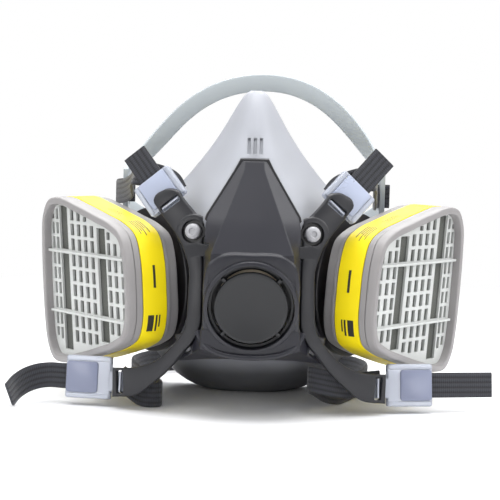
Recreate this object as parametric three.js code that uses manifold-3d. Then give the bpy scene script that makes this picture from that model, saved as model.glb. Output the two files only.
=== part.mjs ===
// Elastomeric half-mask respirator with two bayonet gas cartridges and a four-point head harness.
// Units: millimetres. +Z is up, the wearer's side of the mask faces +Y, the front faces -Y.
// "right" is +X and "left" is -X, as seen from in front of the mask.
// The origin is on the ground under the middle of the flat chin pad, on which the mask stands.
import * as THREE from 'three';
import { mergeVertices } from 'three/addons/utils/BufferGeometryUtils.js';
import Module from 'manifold-3d';

const manifold = await Module();
manifold.setup();

// ---------------------------------------------------------------- driving dimensions
const CHIN_PAD_Y = 36;          // modelled depth of the chin pad centre; the group moves it to the origin
const GAP = 0.3;                // clearance between neighbouring solids
const WALL = 2.6;               // elastomer wall of the facepiece
const SEAL_LIP = 6.5;           // width of the inward-turned face seal

const CART_YAW = 33;            // degrees each cartridge axis turns from sideways to the front
const CART_TWIST = 6;           // degrees the cartridge outline is rolled, front edge up
const CART_CENTRE = [76.3, 3.6, 51.2];   // middle of the right cartridge's outer face
const CART_DEPTH = 26.5;        // along the cartridge axis
const CART_WALL = 1.6;
const RIM_DEPTH = 7.6;          // plain rim between the label band and the outer face
const BAND_DEPTH = 12.4;        // label band
const BAND_THICK = 0.45;
const PORT_T = 7;               // bayonet axis, towards the front from the outline's middle
const PORT_W = 1.5;             // bayonet axis, above the outline's middle
const FLANGE_R = 33;            // port flange
const FLANGE_BACK = -6.2;       // flange's inner face, from the cartridge's back plane
const SLEEVE_R = 19.6;          // port sleeve through the facepiece
const BORE_R = 15.5;            // breathing bore of the port
const LUG_ANGLE = 0.35;         // first bayonet lug, radians
const THIRD_TURN = 2 * Math.PI / 3;

const VALVE_CENTRE = [0, -46, 50];   // middle of the exhalation cap's face
const VALVE_TILT = 9;           // degrees the exhalation axis points below the horizontal
const CAP_R = 15.9;             // cap disc
const CAP_THICK = 1.6;
const SLOT_R = 18.75;           // outer edge of the ring slot
const COLLAR_R = 20.6;          // raised collar
const SEAT_R = 15.2;            // exhalation valve seat, in the facepiece wall

const STUD = [26.1, -27.6, 80.6];    // middle of the stud, level with the arm's front surface
const STUD_STEM_R = 2.0;
const ARM_THICK = 3.0;          // harness yoke
const BRIDGE_Z = [70.4, 75.6];  // lower and upper edge of the bridge between the yoke's arms
const STRAP_W = 11.2;           // elastic webbing
const STRAP_T = 1.4;
const CRADLE_W = 8.2;           // head cradle's top band
const CRADLE_REAR_W = 8.4;      // head cradle's rear band
const CRADLE_T = 2.0;

const FINISHES = {
  tpe: { color: 0xc6c9ce, roughness: 0.55 },
  shell: { color: 0x4a4a52, roughness: 0.5 },
  shellDark: { color: 0x38393d, roughness: 0.5 },
  grey: { color: 0x9b9791, roughness: 0.55 },
  pale: { color: 0xd6d8d2, roughness: 0.5 },
  yellow: { color: 0xf0db06, roughness: 0.4 },
  web: { color: 0x3c3d45, roughness: 0.9 },
  clear: { color: 0xc8cddc, roughness: 0.25 },
  cradle: { color: 0xd0d6d9, roughness: 0.45 },
  carbon: { color: 0x1c1c1e, roughness: 0.95 },
  felt: { color: 0xe6e4dd, roughness: 0.95 },
  silicone: { color: 0xc9b9a2, roughness: 0.4 }
};

// ---------------------------------------------------------------- meshes and solids
const root = new THREE.Group();
root.name = 'respirator';
root.position.set(0, -CHIN_PAD_Y, 0);

function add(name, geometry, finish) {
  const shaded = geometry.clone();
  shaded.computeVertexNormals();
  const mesh = new THREE.Mesh(shaded, new THREE.MeshStandardMaterial(FINISHES[finish]));
  mesh.name = name;
  root.add(mesh);
}

function pair(name, geometry, finish) {
  add('right_' + name, geometry, finish);
  add('left_' + name, mirrorX(geometry), finish);
}

// Positions only, with coincident vertices merged.
function clean(geometry) {
  const bare = geometry.index ? geometry.toNonIndexed() : geometry.clone();
  bare.deleteAttribute('normal');
  bare.deleteAttribute('uv');
  return mergeVertices(bare, 1e-4);
}

function signedVolume(geometry) {
  const { attributes: { position }, index } = geometry;
  const corners = [0, 1, 2].map(() => new THREE.Vector3());
  let sum = 0;
  for (let i = 0; i < index.count; i += 3) {
    corners.forEach((corner, k) => corner.fromBufferAttribute(position, index.getX(i + k)));
    sum += corners[0].dot(corners[1].cross(corners[2]));
  }
  return sum / 6;
}

// Cleaned copy whose faces all point outwards.
function outward(geometry) {
  const result = clean(geometry);
  if (signedVolume(result) < 0) {
    const order = Array.from(result.index.array);
    for (let i = 0; i < order.length; i += 3) {
      [order[i], order[i + 1]] = [order[i + 1], order[i]];
    }
    result.setIndex(order);
  }
  return result;
}

function solid(geometry) {
  const closed = outward(geometry);
  return new manifold.Manifold(new manifold.Mesh({
    numProp: 3,
    vertProperties: new Float32Array(closed.attributes.position.array),
    triVerts: new Uint32Array(closed.index.array)
  }));
}

function toGeometry(body) {
  const mesh = body.asOriginal().simplify(0.004).getMesh();
  const geometry = new THREE.BufferGeometry();
  const positions = new Float32Array(mesh.vertProperties);
  geometry.setAttribute('position', new THREE.BufferAttribute(positions, 3));
  geometry.setIndex(Array.from(mesh.triVerts));
  return geometry;
}

// A solid with geometries added to it or cut out of it, one after another.
const join = (body, ...parts) => parts.reduce((sum, part) => sum.add(solid(part)), body);
const cut = (body, ...parts) => parts.reduce((rest, part) => rest.subtract(solid(part)), body);

// ---------------------------------------------------------------- shapes
const vec = (point) => new THREE.Vector3(...point);

// Triangles that close a flat ring of points.
function capTriangles(ring) {
  const normal = new THREE.Vector3();
  ring.forEach((p, i) => {
    const q = ring[(i + 1) % ring.length];
    normal.x += (p[1] - q[1]) * (p[2] + q[2]);
    normal.y += (p[2] - q[2]) * (p[0] + q[0]);
    normal.z += (p[0] - q[0]) * (p[1] + q[1]);
  });
  normal.normalize();
  const across = Math.abs(normal.x) < 0.8 ? vec([1, 0, 0]) : vec([0, 1, 0]);
  across.sub(normal.clone().multiplyScalar(across.dot(normal))).normalize();
  const upward = normal.clone().cross(across);
  const flat = ring.map((p) => new THREE.Vector2(vec(p).dot(across), vec(p).dot(upward)));
  return THREE.ShapeUtils.triangulateShape(flat, []);
}

// Closed solid through a list of rings with equal point counts.
function loft(rings) {
  const count = rings[0].length;
  const last = (rings.length - 1) * count;
  const index = [];
  for (let base = 0; base < last; base += count) {
    for (let i = 0; i < count; i++) {
      const j = (i + 1) % count;
      index.push(base + i, base + j, base + count + j);
      index.push(base + i, base + count + j, base + count + i);
    }
  }
  capTriangles(rings[0]).forEach(([i, j, k]) => index.push(j, i, k));
  capTriangles(rings[rings.length - 1]).forEach((face) => {
    index.push(...face.map((i) => last + i));
  });
  const geometry = new THREE.BufferGeometry();
  geometry.setAttribute('position', new THREE.Float32BufferAttribute(rings.flat(2), 3));
  geometry.setIndex(index);
  return outward(geometry);
}

// Solid of revolution about Z; the profile's columns are radius and z.
function lathe(profile, segments) {
  const points = profile.map(([radius, z]) => new THREE.Vector2(radius, z));
  return new THREE.LatheGeometry(points, segments).rotateX(Math.PI / 2);
}

// Tube and cylinder along +Z from 0.
function tube(outer, inner, length) {
  return lathe([[inner, 0], [outer, 0], [outer, length], [inner, length], [inner, 0]], 32);
}

function cylinder(radius, length, segments) {
  const geometry = new THREE.CylinderGeometry(radius, radius, length, segments);
  return geometry.rotateX(Math.PI / 2).translate(0, 0, length / 2);
}

function box(x0, x1, y0, y1, z0, z1) {
  const geometry = new THREE.BoxGeometry(x1 - x0, y1 - y0, z1 - z0);
  return geometry.translate((x0 + x1) / 2, (y0 + y1) / 2, (z0 + z1) / 2);
}

// Copies of one box turned about Z in equal steps.
function boxFan(bounds, count, step, start = 0) {
  return Array.from({ length: count }, (_, i) => box(...bounds).rotateZ(i * step + start));
}

function mirrorX(geometry) {
  return outward(clean(geometry).applyMatrix4(new THREE.Matrix4().makeScale(-1, 1, 1)));
}

const bothSides = (geometry) => [geometry, mirrorX(geometry)];

// Points along a smooth curve through the given points.
function smooth(points, divisions, closed = false) {
  const through = points.map(([x, y, z = 0]) => new THREE.Vector3(x, y, z));
  const curve = new THREE.CatmullRomCurve3(through, closed, 'centripetal');
  const count = closed ? divisions : divisions + 1;
  return Array.from({ length: count }, (_, i) => curve.getPoint(i / divisions).toArray());
}

// Flat ribbon along a path; the width lies along `ups` (one for all, or one per point).
function ribbon(path, ups, width, thick) {
  return loft(path.map((point, i) => {
    const before = vec(path[Math.max(0, i - 1)]);
    const tangent = vec(path[Math.min(path.length - 1, i + 1)]).sub(before).normalize();
    const up = vec(Array.isArray(ups[0]) ? ups[i] : ups);
    up.sub(tangent.clone().multiplyScalar(up.dot(tangent))).normalize();
    const side = tangent.clone().cross(up).normalize();
    return [[1, 1], [-1, 1], [-1, -1], [1, -1]].map(([k, m]) => vec(point)
      .addScaledVector(up, k * width / 2).addScaledVector(side, m * thick / 2).toArray());
  }));
}

// ---------------------------------------------------------------- frames
// A frame is { origin, x, y, z }, all vectors.
function pointIn(frame, x, y, z) {
  return frame.origin.clone().addScaledVector(frame.x, x)
    .addScaledVector(frame.y, y).addScaledVector(frame.z, z);
}

function place(geometry, frame) {
  const placed = clean(geometry);
  const position = placed.attributes.position;
  for (let i = 0; i < position.count; i++) {
    const local = [position.getX(i), position.getY(i), position.getZ(i)];
    position.setXYZ(i, ...pointIn(frame, ...local).toArray());
  }
  return outward(placed);
}

// Moves local +Z onto a direction and the local origin onto a start point.
function along(geometry, start, direction) {
  const turn = new THREE.Quaternion().setFromUnitVectors(vec([0, 0, 1]), direction);
  return outward(clean(geometry).applyQuaternion(turn).translate(...start.toArray()));
}

// Right cartridge: x to the mask's front, y up, z outwards along the bayonet axis, origin in the
// middle of the back plane. The frame is left-handed; place() restores outward faces.
const yaw = THREE.MathUtils.degToRad(CART_YAW);
const twist = THREE.MathUtils.degToRad(CART_TWIST);
const cartAxis = new THREE.Vector3(Math.cos(yaw), -Math.sin(yaw), 0);
const levelFront = new THREE.Vector3(-Math.sin(yaw), -Math.cos(yaw), 0);
const CART_FRAME = {
  origin: vec(CART_CENTRE).addScaledVector(cartAxis, -CART_DEPTH),
  x: levelFront.clone().multiplyScalar(Math.cos(twist)).add(vec([0, 0, Math.sin(twist)])),
  y: vec([0, 0, Math.cos(twist)]).sub(levelFront.clone().multiplyScalar(Math.sin(twist))),
  z: cartAxis
};
const portAt = (geometry, z) => place(geometry.clone().translate(PORT_T, PORT_W, z), CART_FRAME);

// Exhalation valve: x sideways, y up, z out of the mask, forwards and a little down.
const tilt = THREE.MathUtils.degToRad(VALVE_TILT);
const VALVE_FRAME = {
  origin: vec(VALVE_CENTRE),
  x: vec([1, 0, 0]),
  y: vec([0, -Math.sin(tilt), Math.cos(tilt)]),
  z: vec([0, -Math.cos(tilt), -Math.sin(tilt)])
};
const valveAt = (geometry, z) => place(geometry.clone().translate(0, 0, z), VALVE_FRAME);

// Right harness stud: distances along its axis, which points out of the front.
const studAxis = new THREE.Vector3(0.22, -0.96, 0.12).normalize();
const studAt = (geometry, distance) =>
  along(geometry, vec(STUD).addScaledVector(studAxis, distance), studAxis);

// ---------------------------------------------------------------- facepiece
// Half sections: height z, then plan points (x, y) from the rear seal edge to the front centre.
const FACE = [
  [0.0, [[20, 44], [20, 40], [18.6, 34.5], [13, 30], [7, 28.4], [0, 28]]],
  [1.6, [[27, 45], [26.5, 40], [23, 31.5], [16, 25.5], [9, 22.6], [0, 21.5]]],
  [5.0, [[33.5, 46], [33, 40], [28.5, 28], [20, 19], [11, 15], [0, 13.6]]],
  [10.0, [[39.5, 47], [38.5, 40], [33, 24], [24, 12], [14, 6], [0, 4]]],
  [16.0, [[45.5, 48], [44, 39.5], [37.5, 20], [27, 3], [17, -5], [0, -8]]],
  [25.0, [[51.5, 48], [50, 39.5], [40, 15], [28, -7], [18, -18], [0, -22]]],
  [33.0, [[55, 47.5], [53.5, 38.5], [41.5, 13.5], [29, -9], [21, -25], [0, -31]]],
  [45.0, [[57, 46], [55.5, 37], [42, 13], [29, -9.5], [22.5, -26.5], [0, -33]]],
  [58.0, [[57, 44], [55.3, 35.5], [42, 13], [29, -9.5], [22.8, -27], [0, -33]]],
  [70.0, [[55.5, 42], [53.8, 34], [41.5, 12.5], [29, -9.5], [22.8, -26.5], [0, -32]]],
  [78.0, [[52, 40], [50.5, 33], [40, 11], [30, -9], [22.6, -24], [0, -30.5]]],
  [84.0, [[47.8, 37.5], [46.3, 31], [38, 10.5], [29, -7.5], [21.5, -21.5], [0, -28]]],
  [90.0, [[41.8, 34], [40.4, 28], [33.5, 8.5], [26, -7.5], [18.5, -19.5], [0, -25.5]]],
  [98.0, [[33.2, 30.5], [32, 25.5], [26.5, 7], [20.3, -7], [14, -16.5], [0, -21]]],
  [106.0, [[26.6, 27], [25.5, 22.5], [20.8, 6.5], [15.6, -4.5], [10, -12.2], [0, -15.5]]],
  [114.0, [[20.6, 23.5], [19.6, 19.5], [16, 6.5], [12, -1.5], [7.5, -7.2], [0, -9.8]]],
  [122.0, [[15.4, 20.3], [14.6, 17], [12, 8.2], [9, 2], [5.5, -2.2], [0, -4]]],
  [130.0, [[10.8, 17.8], [10.2, 15.2], [8.4, 9], [6.2, 4.6], [3.6, 2], [0, 1]]],
  [136.0, [[7.3, 16.4], [6.9, 14.8], [5.7, 10.8], [4.2, 7.6], [2.4, 5.9], [0, 5.2]]],
  [139.6, [[4.6, 15.6], [4.3, 14.6], [3.6, 12.4], [2.6, 10.6], [1.5, 9.6], [0, 9.2]]],
  [141.0, [[2.4, 14.8], [2.3, 14.3], [1.9, 13.3], [1.4, 12.6], [0.8, 12.1], [0, 11.9]]]
];
const CAVITY_Z = [5, 130];      // lowest and highest section of the cavity
const REAR_STOP = 2.4;          // the cavity ends this far in front of the rear edge
const FLOOR_EXTRA = 1.4;        // added wall round the lowest cavity section
const INSET_SCALE = 1.15;       // makes up for the slope of the wall

function faceRing(z, half, inset) {
  const [halfWidth, rear] = half[0];
  const front = half[half.length - 1][1];
  let points = smooth(half, 8).map(([x, y]) => [x, y]);
  points[points.length - 1][0] = 0;
  if (inset > 0) {              // pulled in from the sides and back from the front
    const pull = INSET_SCALE * inset;
    points = points.map(([x, y]) =>
      [x * (halfWidth - pull) / halfWidth, y + pull * (rear - y) / (rear - front)]);
  }
  const left = points.slice(0, -1).reverse().map(([x, y]) => [-x, y]);
  return points.concat(left).map(([x, y]) => [x, y, z]);
}

const faceOuter = solid(loft(FACE.map(([z, half]) => faceRing(z, half, 0))));
const cavityLevels = FACE.filter(([z]) => z >= CAVITY_Z[0] && z <= CAVITY_Z[1]);
// Stopping short of the rear edge leaves the inward-turned seal lip.
const cavity = solid(loft(cavityLevels.map(([z, half], level) => {
  const shortened = half.map(([x, y], i) => [x, i < 2 ? y - REAR_STOP : y]);
  return faceRing(z, shortened, WALL + (level === 0 ? FLOOR_EXTRA : 0));
})));

// Opening inside the seal lip; the lip is narrower near the nose.
function mouthOpening() {
  return loft(cavityLevels.slice(1).map(([z, half]) => {
    const [edge, rear] = half[0];
    const width = Math.max(edge - SEAL_LIP + (z > 110 ? 1.5 : 0), 2.2);
    return [[width, rear - 7, z], [width, rear + 8, z], [-width, rear + 8, z], [-width, rear - 7, z]];
  }));
}

function facepiece() {
  let face = cut(faceOuter.subtract(cavity), mouthOpening());
  for (const boss of bothSides(portAt(cylinder(SLEEVE_R + 5.5, 9.6, 28), -16.2))) {
    face = face.add(solid(boss).subtract(cavity));
  }
  return cut(face,
    ...bothSides(portAt(cylinder(SLEEVE_R + GAP, 30, 32), -34)),                // port bores
    ...bothSides(portAt(cylinder(FLANGE_R + 0.8, 22, 40), FLANGE_BACK - GAP)),  // flange seats
    valveAt(cylinder(SEAT_R + GAP, 30, 28), -36),
    ...bothSides(studAt(cylinder(STUD_STEM_R + GAP, 34, 12), -30)));
}
add('facepiece', toGeometry(facepiece()), 'tpe');

// ---------------------------------------------------------------- harness yoke
// Edge points of the left arm's front surface, from the upper end to the lower end:
// the outer (left) edge, then the inner edge.
const LEFT_ARM = [
  [[-43.8, -19.8, 91.6], [-33.0, -21.8, 97.1]],
  [[-40.3, -21.8, 87.1], [-30.0, -23.8, 93.0]],
  [[-36.7, -23.8, 82.6], [-26.2, -25.8, 88.9]],
  [[-33.3, -26.3, 78.4], [-21.9, -28.3, 84.1]],
  [[-30.9, -28.3, 74.3], [-21.9, -30.3, 78.3]],
  [[-29.2, -29.8, 70.0], [-21.9, -31.8, 71.0]],
  [[-27.6, -31.8, 64.0], [-21.6, -33.8, 64.4]],
  [[-27.6, -33.3, 56.3], [-21.6, -35.3, 56.8]],
  [[-27.9, -34.3, 47.7], [-21.6, -36.3, 48.2]],
  [[-28.5, -34.3, 39.9], [-22.2, -36.3, 39.5]],
  [[-31.3, -33.5, 34.4], [-25.4, -35.5, 33.1]],
  [[-34.0, -31.8, 30.8], [-29.5, -33.8, 28.3]],
  [[-37.6, -30.0, 26.7], [-33.0, -32.0, 23.4]],
  [[-41.3, -28.2, 23.5], [-37.4, -30.2, 18.2]],
  [[-45.8, -25.8, 20.9], [-42.4, -27.8, 13.2]],
  [[-52.3, -22.8, 19.0], [-50.0, -24.8, 7.1]],
  [[-60.6, -19.3, 18.2], [-60.4, -21.3, 5.4]]
];
const ARM = LEFT_ARM.map((edges) => edges.map(([x, y, z]) => [-x, y, z]));

// Rounded upper tip beyond the first pair: share cut off each side, distance beyond.
const TIP = [[0.34, 3.6], [0.16, 2.6]];
const tipDirection = new THREE.Vector3(0.62, 0.30, 0.73).normalize();
const tipPairs = TIP.map(([share, beyond]) => [share, 1 - share].map((part) =>
  vec(ARM[0][0]).lerp(vec(ARM[0][1]), part).addScaledVector(tipDirection, beyond).toArray()));

// Right arm: `push` moves its front surface back, `grow` widens both edges.
function armShape(thick, push, grow = 0) {
  return loft([...tipPairs, ...ARM].map((edges) => {
    const [outer, inner] = edges.map(vec);
    const across = inner.clone().sub(outer).normalize();
    outer.addScaledVector(across, -grow);
    inner.addScaledVector(across, grow);
    const back = new THREE.Vector3(0, 1, 0);
    back.sub(across.clone().multiplyScalar(back.dot(across))).normalize();
    const behind = (point, distance) => point.clone().addScaledVector(back, distance).toArray();
    return [behind(outer, push), behind(inner, push),
      behind(inner, push + thick), behind(outer, push + thick)];
  }));
}

const forwards = (vector) => (vector.y > 0 ? vector.negate() : vector);

// Frame in the middle of the arm's thickness, a share of the way between two ARM stations:
// x along the arm, y across it, z out of the front.
function armFrame(from, to, share) {
  const middle = ([outer, inner]) => vec(outer).add(vec(inner)).multiplyScalar(0.5);
  const start = middle(ARM[from]);
  const end = middle(ARM[to]);
  const x = end.clone().sub(start).normalize();
  const across = vec(ARM[to][1]).sub(vec(ARM[to][0]));
  across.sub(x.clone().multiplyScalar(across.dot(x))).normalize();
  const z = forwards(x.clone().cross(across).normalize());
  const origin = start.lerp(end, share).addScaledVector(z, -ARM_THICK / 2);
  return { origin, x, y: z.clone().cross(x), z };
}

// The same origin with x turned to a direction and squared up to z.
function aimed(frame, direction, z = frame.z) {
  const x = direction.clone();
  x.sub(z.clone().multiplyScalar(x.dot(z))).normalize();
  return { origin: frame.origin, x, y: z.clone().cross(x).normalize(), z };
}

function spun(frame, degrees) {
  const turn = new THREE.Quaternion().setFromAxisAngle(frame.z, THREE.MathUtils.degToRad(degrees));
  const [x, y] = [frame.x, frame.y].map((direction) => direction.clone().applyQuaternion(turn));
  return { ...frame, x, y };
}

const upperFrame = aimed(armFrame(1, 0, 0.45), vec([0.57, 0.347, 0.74]).normalize());
// The right upper buckle hangs a few degrees further out than the left one.
const upperFrameRight = spun(upperFrame, -4.5);
const lowerSlot = armFrame(15, 16, 0.66);
const lowerPull = vec([0.985, 0.17, 0]).normalize();
const lowerFrame = aimed(lowerSlot, lowerPull,
  forwards(lowerPull.clone().cross(lowerSlot.y).normalize()));

// Grooves across the narrow part of the arm: height, depth reached.
const GROOVES = [[63.4, -34.2], [61.2, -34.2], [59.0, -34.9], [56.8, -34.9]];
const GROOVE_HALF = 0.45;

function yokeArm() {
  // Round pad at the stud hole, trimmed on its inner side.
  const pad = cut(solid(studAt(cylinder(7.6, 3.0, 24), -3.2)), box(-60, 21.9, -60, 0, 60, 100));
  return cut(solid(armShape(ARM_THICK, 0)).add(pad),
    place(box(-1.7, 1.7, -4.9, 4.9, -6, 6), upperFrame),
    place(box(-1.7, 1.7, -5.2, 5.2, -6, 6), lowerSlot),
    studAt(cylinder(5.1, 30, 20), -15),
    ...GROOVES.map(([z, y]) => box(20, 29, -40, y, z - GROOVE_HALF, z + GROOVE_HALF)));
}

// Bridge between the arms, behind the front cover: x, back face y.
const BRIDGE = [[-24.6, -28.0], [-18.6, -33.4], [18.6, -33.4], [24.6, -28.0]];
const BRIDGE_THICK = 2;

function yokeBridge() {
  const [low, high] = BRIDGE_Z;
  return loft(BRIDGE.map(([x, y]) =>
    [[x, y, low], [x, y - BRIDGE_THICK, low], [x, y - BRIDGE_THICK, high], [x, y, high]]));
}

const rightArm = yokeArm();
const yoke = join(rightArm, mirrorX(toGeometry(rightArm)), yokeBridge());
add('harness_yoke', toGeometry(yoke), 'shellDark');

// ---------------------------------------------------------------- harness studs
// Distances from STUD back to the outer and inner surface of the facepiece wall.
function wallDistances() {
  const material = new THREE.MeshBasicMaterial({ side: THREE.DoubleSide });
  const wall = new THREE.Mesh(toGeometry(faceOuter.subtract(cavity)), material);
  wall.updateMatrixWorld();
  const ray = new THREE.Raycaster(vec(STUD), studAxis.clone().negate());
  return ray.intersectObject(wall).slice(0, 2).map((hit) => hit.distance);
}

// Retaining disc inside the wall, stem through it, boss in front and domed head in the arm's hole.
function harnessStud() {
  const [outer, inner] = wallDistances();
  return toGeometry(solid(studAt(lathe([
    [0, -inner - 5.8], [3.0, -inner - 5.8], [3.0, -inner - 4.6], [STUD_STEM_R, -inner - 4.6],
    [STUD_STEM_R, -outer + 4.8], [3.4, -outer + 4.8], [3.4, 0.6],
    [2.9, 1.4], [1.7, 1.9], [1.2, 1.3], [0, 1.3]
  ], 14), 0)));
}
pair('harness_stud', harnessStud(), 'tpe');

// ---------------------------------------------------------------- front cover
// Upper part: z, back y, half width, side edge y, front half width, front y.
const COVER = [
  [111.3, -18.8, 5.2, -20.6, 4.2, -22.2],
  [107.6, -20.6, 7.6, -22.4, 4.4, -24.6],
  [98, -25.2, 13.4, -25.8, 8.1, -30.6],
  [88, -29.6, 19.6, -30.2, 12.0, -37.2],
  [84, -31.4, 20.6, -31.9, 13.6, -39.8],
  [73, -33.6, 20.9, -34.3, 17.7, -46.4],
  [60, -36.6, 20.9, -37.2, 18.6, -46.6]
];
// Valve housing outline: x, y in the valve frame.
const HOUSING = [
  [0, 23.4], [12, 23], [18.2, 19.4], [20.6, 12], [20.8, 0], [20.9, -9], [20.6, -16],
  [17.6, -20.6], [11, -21.8], [0, -21.8], [-11, -21.8], [-17.6, -20.6],
  [-20.6, -16], [-20.9, -9], [-20.8, 0], [-20.6, 12], [-18.2, 19.4], [-12, 23]
];
const HOUSING_HALF = 20.9;
// Flared skirt reaching back: y, then the right half's points (x, z).
const SKIRT = [
  [-43, [[21, 40], [21.5, 31.5], [11, 28.6]]],
  [-34, [[24, 38], [25, 28], [12, 26.2]]],
  [-26.6, [[33, 35], [31.5, 23.4], [20, 24.5]]]
];

function valveHousing() {
  const points = smooth(HOUSING, 40, true).map(([x, y]) => new THREE.Vector2(x, y));
  const block = new THREE.ExtrudeGeometry(new THREE.Shape(points), { depth: 9.4, bevelEnabled: false });
  return cut(solid(valveAt(block, -11.0)),
    box(HOUSING_HALF, 40, -60, -20, 20, 90), box(-40, -HOUSING_HALF, -60, -20, 20, 90));
}

function frontCover() {
  const upper = loft(COVER.map(([z, back, half, side, frontHalf, front]) => [
    [half, back, z], [half, side, z], [frontHalf, front, z],
    [-frontHalf, front, z], [-half, side, z], [-half, back, z]
  ]));
  const skirt = loft(SKIRT.map(([y, half]) => [
    ...half.map(([x, z]) => [x, y, z]),
    ...half.map(([x, z]) => [-x, y, z]).reverse()
  ]));
  const collar = valveAt(cylinder(COLLAR_R, 3.0, 36), -3.0);
  let cover = join(solid(upper).add(valveHousing()), collar, skirt);
  // The facepiece, slightly enlarged about x 0, y 30.
  cover = cover.subtract(
    faceOuter.translate([0, -30, -60]).scale([1.013, 1.013, 1]).translate([0, 30, 60]));
  return cut(cover,
    ...bothSides(armShape(ARM_THICK + 2.4, -2.0, 0.45)),
    valveAt(cylinder(SLOT_R, 26, 32), -21),            // outlet pocket behind the cap
    ...[1, -1].map((side) =>                           // two locating holes in the skirt
      along(cylinder(1.9, 40, 14), vec([side * 27.6, -10, 29.4]), vec([0, -1, 0]))),
    box(-25, 25, -36.0 - GAP, -20, BRIDGE_Z[0] - 0.5, BRIDGE_Z[1] + 0.5));
}
add('front_cover', toGeometry(frontCover()), 'shell');

// ---------------------------------------------------------------- exhalation valve
// Disc on four legs that stand on a ring.
function exhalationCap() {
  const legs = boxFan([CAP_R - 2.0, SLOT_R - 0.9, -0.7, 0.7, -4.4, -0.9],
    4, Math.PI / 2, Math.PI / 4);
  return join(solid(valveAt(cylinder(CAP_R, CAP_THICK, 36), -CAP_THICK)),
    valveAt(tube(SLOT_R - GAP, SLOT_R - 1.6, 1.6), -4.6),
    ...legs.map((leg) => valveAt(leg, 0)));
}
add('exhalation_cap', toGeometry(exhalationCap()), 'shellDark');

const SEAT_BORE_R = 12.6;
const SEAT_FRONT = -9.8;        // behind the cap face
const SEAT_SPOKE_DEPTH = 2.0;
const SEAT_SPOKE_BACK = -11.8;

// Spoked ring snapped into the facepiece; the flap sits on its front face.
function valveSeat() {
  const ring = lathe([[SEAT_BORE_R, -17.8], [SEAT_R, -17.8], [SEAT_R, -11.4], [17.6, -11.4],
    [17.6, SEAT_FRONT], [SEAT_BORE_R, SEAT_FRONT], [SEAT_BORE_R, -17.8]], 28);
  const spokes = boxFan([-13, 13, -0.8, 0.8, SEAT_SPOKE_BACK, SEAT_FRONT], 3, Math.PI / 3);
  const spoked = join(solid(valveAt(ring, 0)),
    ...spokes.map((spoke) => valveAt(spoke, 0)),
    valveAt(cylinder(2.6, SEAT_SPOKE_DEPTH, 12), SEAT_SPOKE_BACK));
  return cut(spoked, valveAt(cylinder(1.2, 6, 10), -14));
}
add('exhalation_valve_seat', toGeometry(valveSeat()), 'shellDark');

const EXHALE_FLAP = [[0, -3.6], [0.85, -3.6], [0.85, 0], [13.4, 0], [14.7, -0.1], [14.9, 0.4],
  [13.4, 0.7], [2.4, 0.8], [1.8, 1.6], [0, 1.7]];
add('exhalation_valve_flap', valveAt(lathe(EXHALE_FLAP, 24), -9.3), 'silicone');

// ---------------------------------------------------------------- inhalation ports
// Heights in the profiles are distances along the bayonet axis from the cartridge's back plane.
const PORT_PROFILE = [
  [BORE_R, -19.4], [SLEEVE_R, -19.4], [SLEEVE_R, FLANGE_BACK], [FLANGE_R, FLANGE_BACK],
  [FLANGE_R, -4.0], [24, -4.0], [24, -2.0], [17.6, -2.0], [17.6, 4.0], [BORE_R, 4.0], [BORE_R, -19.4]
];
const PORT_SPOKE_DEPTH = 1.8;
const PORT_SPOKE_BACK = -14.6;

function inhalationPort() {
  const lugs = boxFan([16.4, 20.2, -2.3, 2.3, 1.9, 4.0], 3, THIRD_TURN, LUG_ANGLE);
  const spokes = boxFan([-15.8, 15.8, -0.7, 0.7, PORT_SPOKE_BACK, PORT_SPOKE_BACK + PORT_SPOKE_DEPTH],
    3, Math.PI / 3);
  const body = join(solid(portAt(lathe(PORT_PROFILE, 32), 0)),
    ...[...lugs, ...spokes].map((part) => portAt(part, 0)),
    portAt(cylinder(2.4, PORT_SPOKE_DEPTH, 12), PORT_SPOKE_BACK));
  return cut(body, portAt(cylinder(1.2, 8, 10), -17));
}
pair('inhalation_port', toGeometry(inhalationPort()), 'shellDark');
pair('port_gasket', portAt(tube(23.4, 18.1, 1.45), -1.75), 'silicone');

const INHALE_FLAP = [[0, 3.4], [0.85, 3.4], [0.85, 0], [13.6, 0], [14.2, -0.5], [13.4, -0.7],
  [1.8, -0.9], [0, -1.0]];
pair('inhalation_valve', portAt(lathe(INHALE_FLAP, 22), -15.0), 'silicone');

// ---------------------------------------------------------------- cartridges
// Outline: distance towards the mask's front, distance up.
const CART_OUTLINE = smooth([
  [-41, 2], [-40.8, 20], [-39.2, 32], [-33.6, 39.4], [-23.6, 40.8], [-6, 37.0], [12, 32.2],
  [27, 27.8], [36.2, 22.4], [40.2, 12], [41.2, -2], [40.6, -14], [36.4, -22.8], [27, -27.2],
  [12, -30.6], [-6, -34.0], [-23, -36.2], [-32.6, -34.8], [-38.2, -27.5], [-40.4, -16]
], 34, true);
const BAND_OUTER = CART_DEPTH - RIM_DEPTH;
const BAND_INNER = BAND_OUTER - BAND_DEPTH;
const SHELL_INSET = 0.2;        // shell side, inside the outline
const GROOVE_INSET = SHELL_INSET + BAND_THICK + GAP;
const LINING_INSET = CART_WALL + 0.9;
const FILL_INSET = CART_WALL + 1.4;

// The outline moved inwards, at a depth from the back plane.
function cartRing(inset, depth) {
  const count = CART_OUTLINE.length;
  return CART_OUTLINE.map(([x, y], i) => {
    const before = CART_OUTLINE[(i + count - 1) % count];
    const after = CART_OUTLINE[(i + 1) % count];
    const alongX = after[0] - before[0];
    const alongY = after[1] - before[1];
    const length = Math.hypot(alongX, alongY);
    let inX = alongY / length;
    let inY = -alongX / length;
    if (inX * -x + inY * -y < 0) {
      inX = -inX;
      inY = -inY;
    }
    return [x + inX * inset, y + inY * inset, depth];
  });
}

// Solid through stations of inset and depth.
const cartLoft = (stations) =>
  place(loft(stations.map(([inset, depth]) => cartRing(inset, depth))), CART_FRAME);

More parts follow.
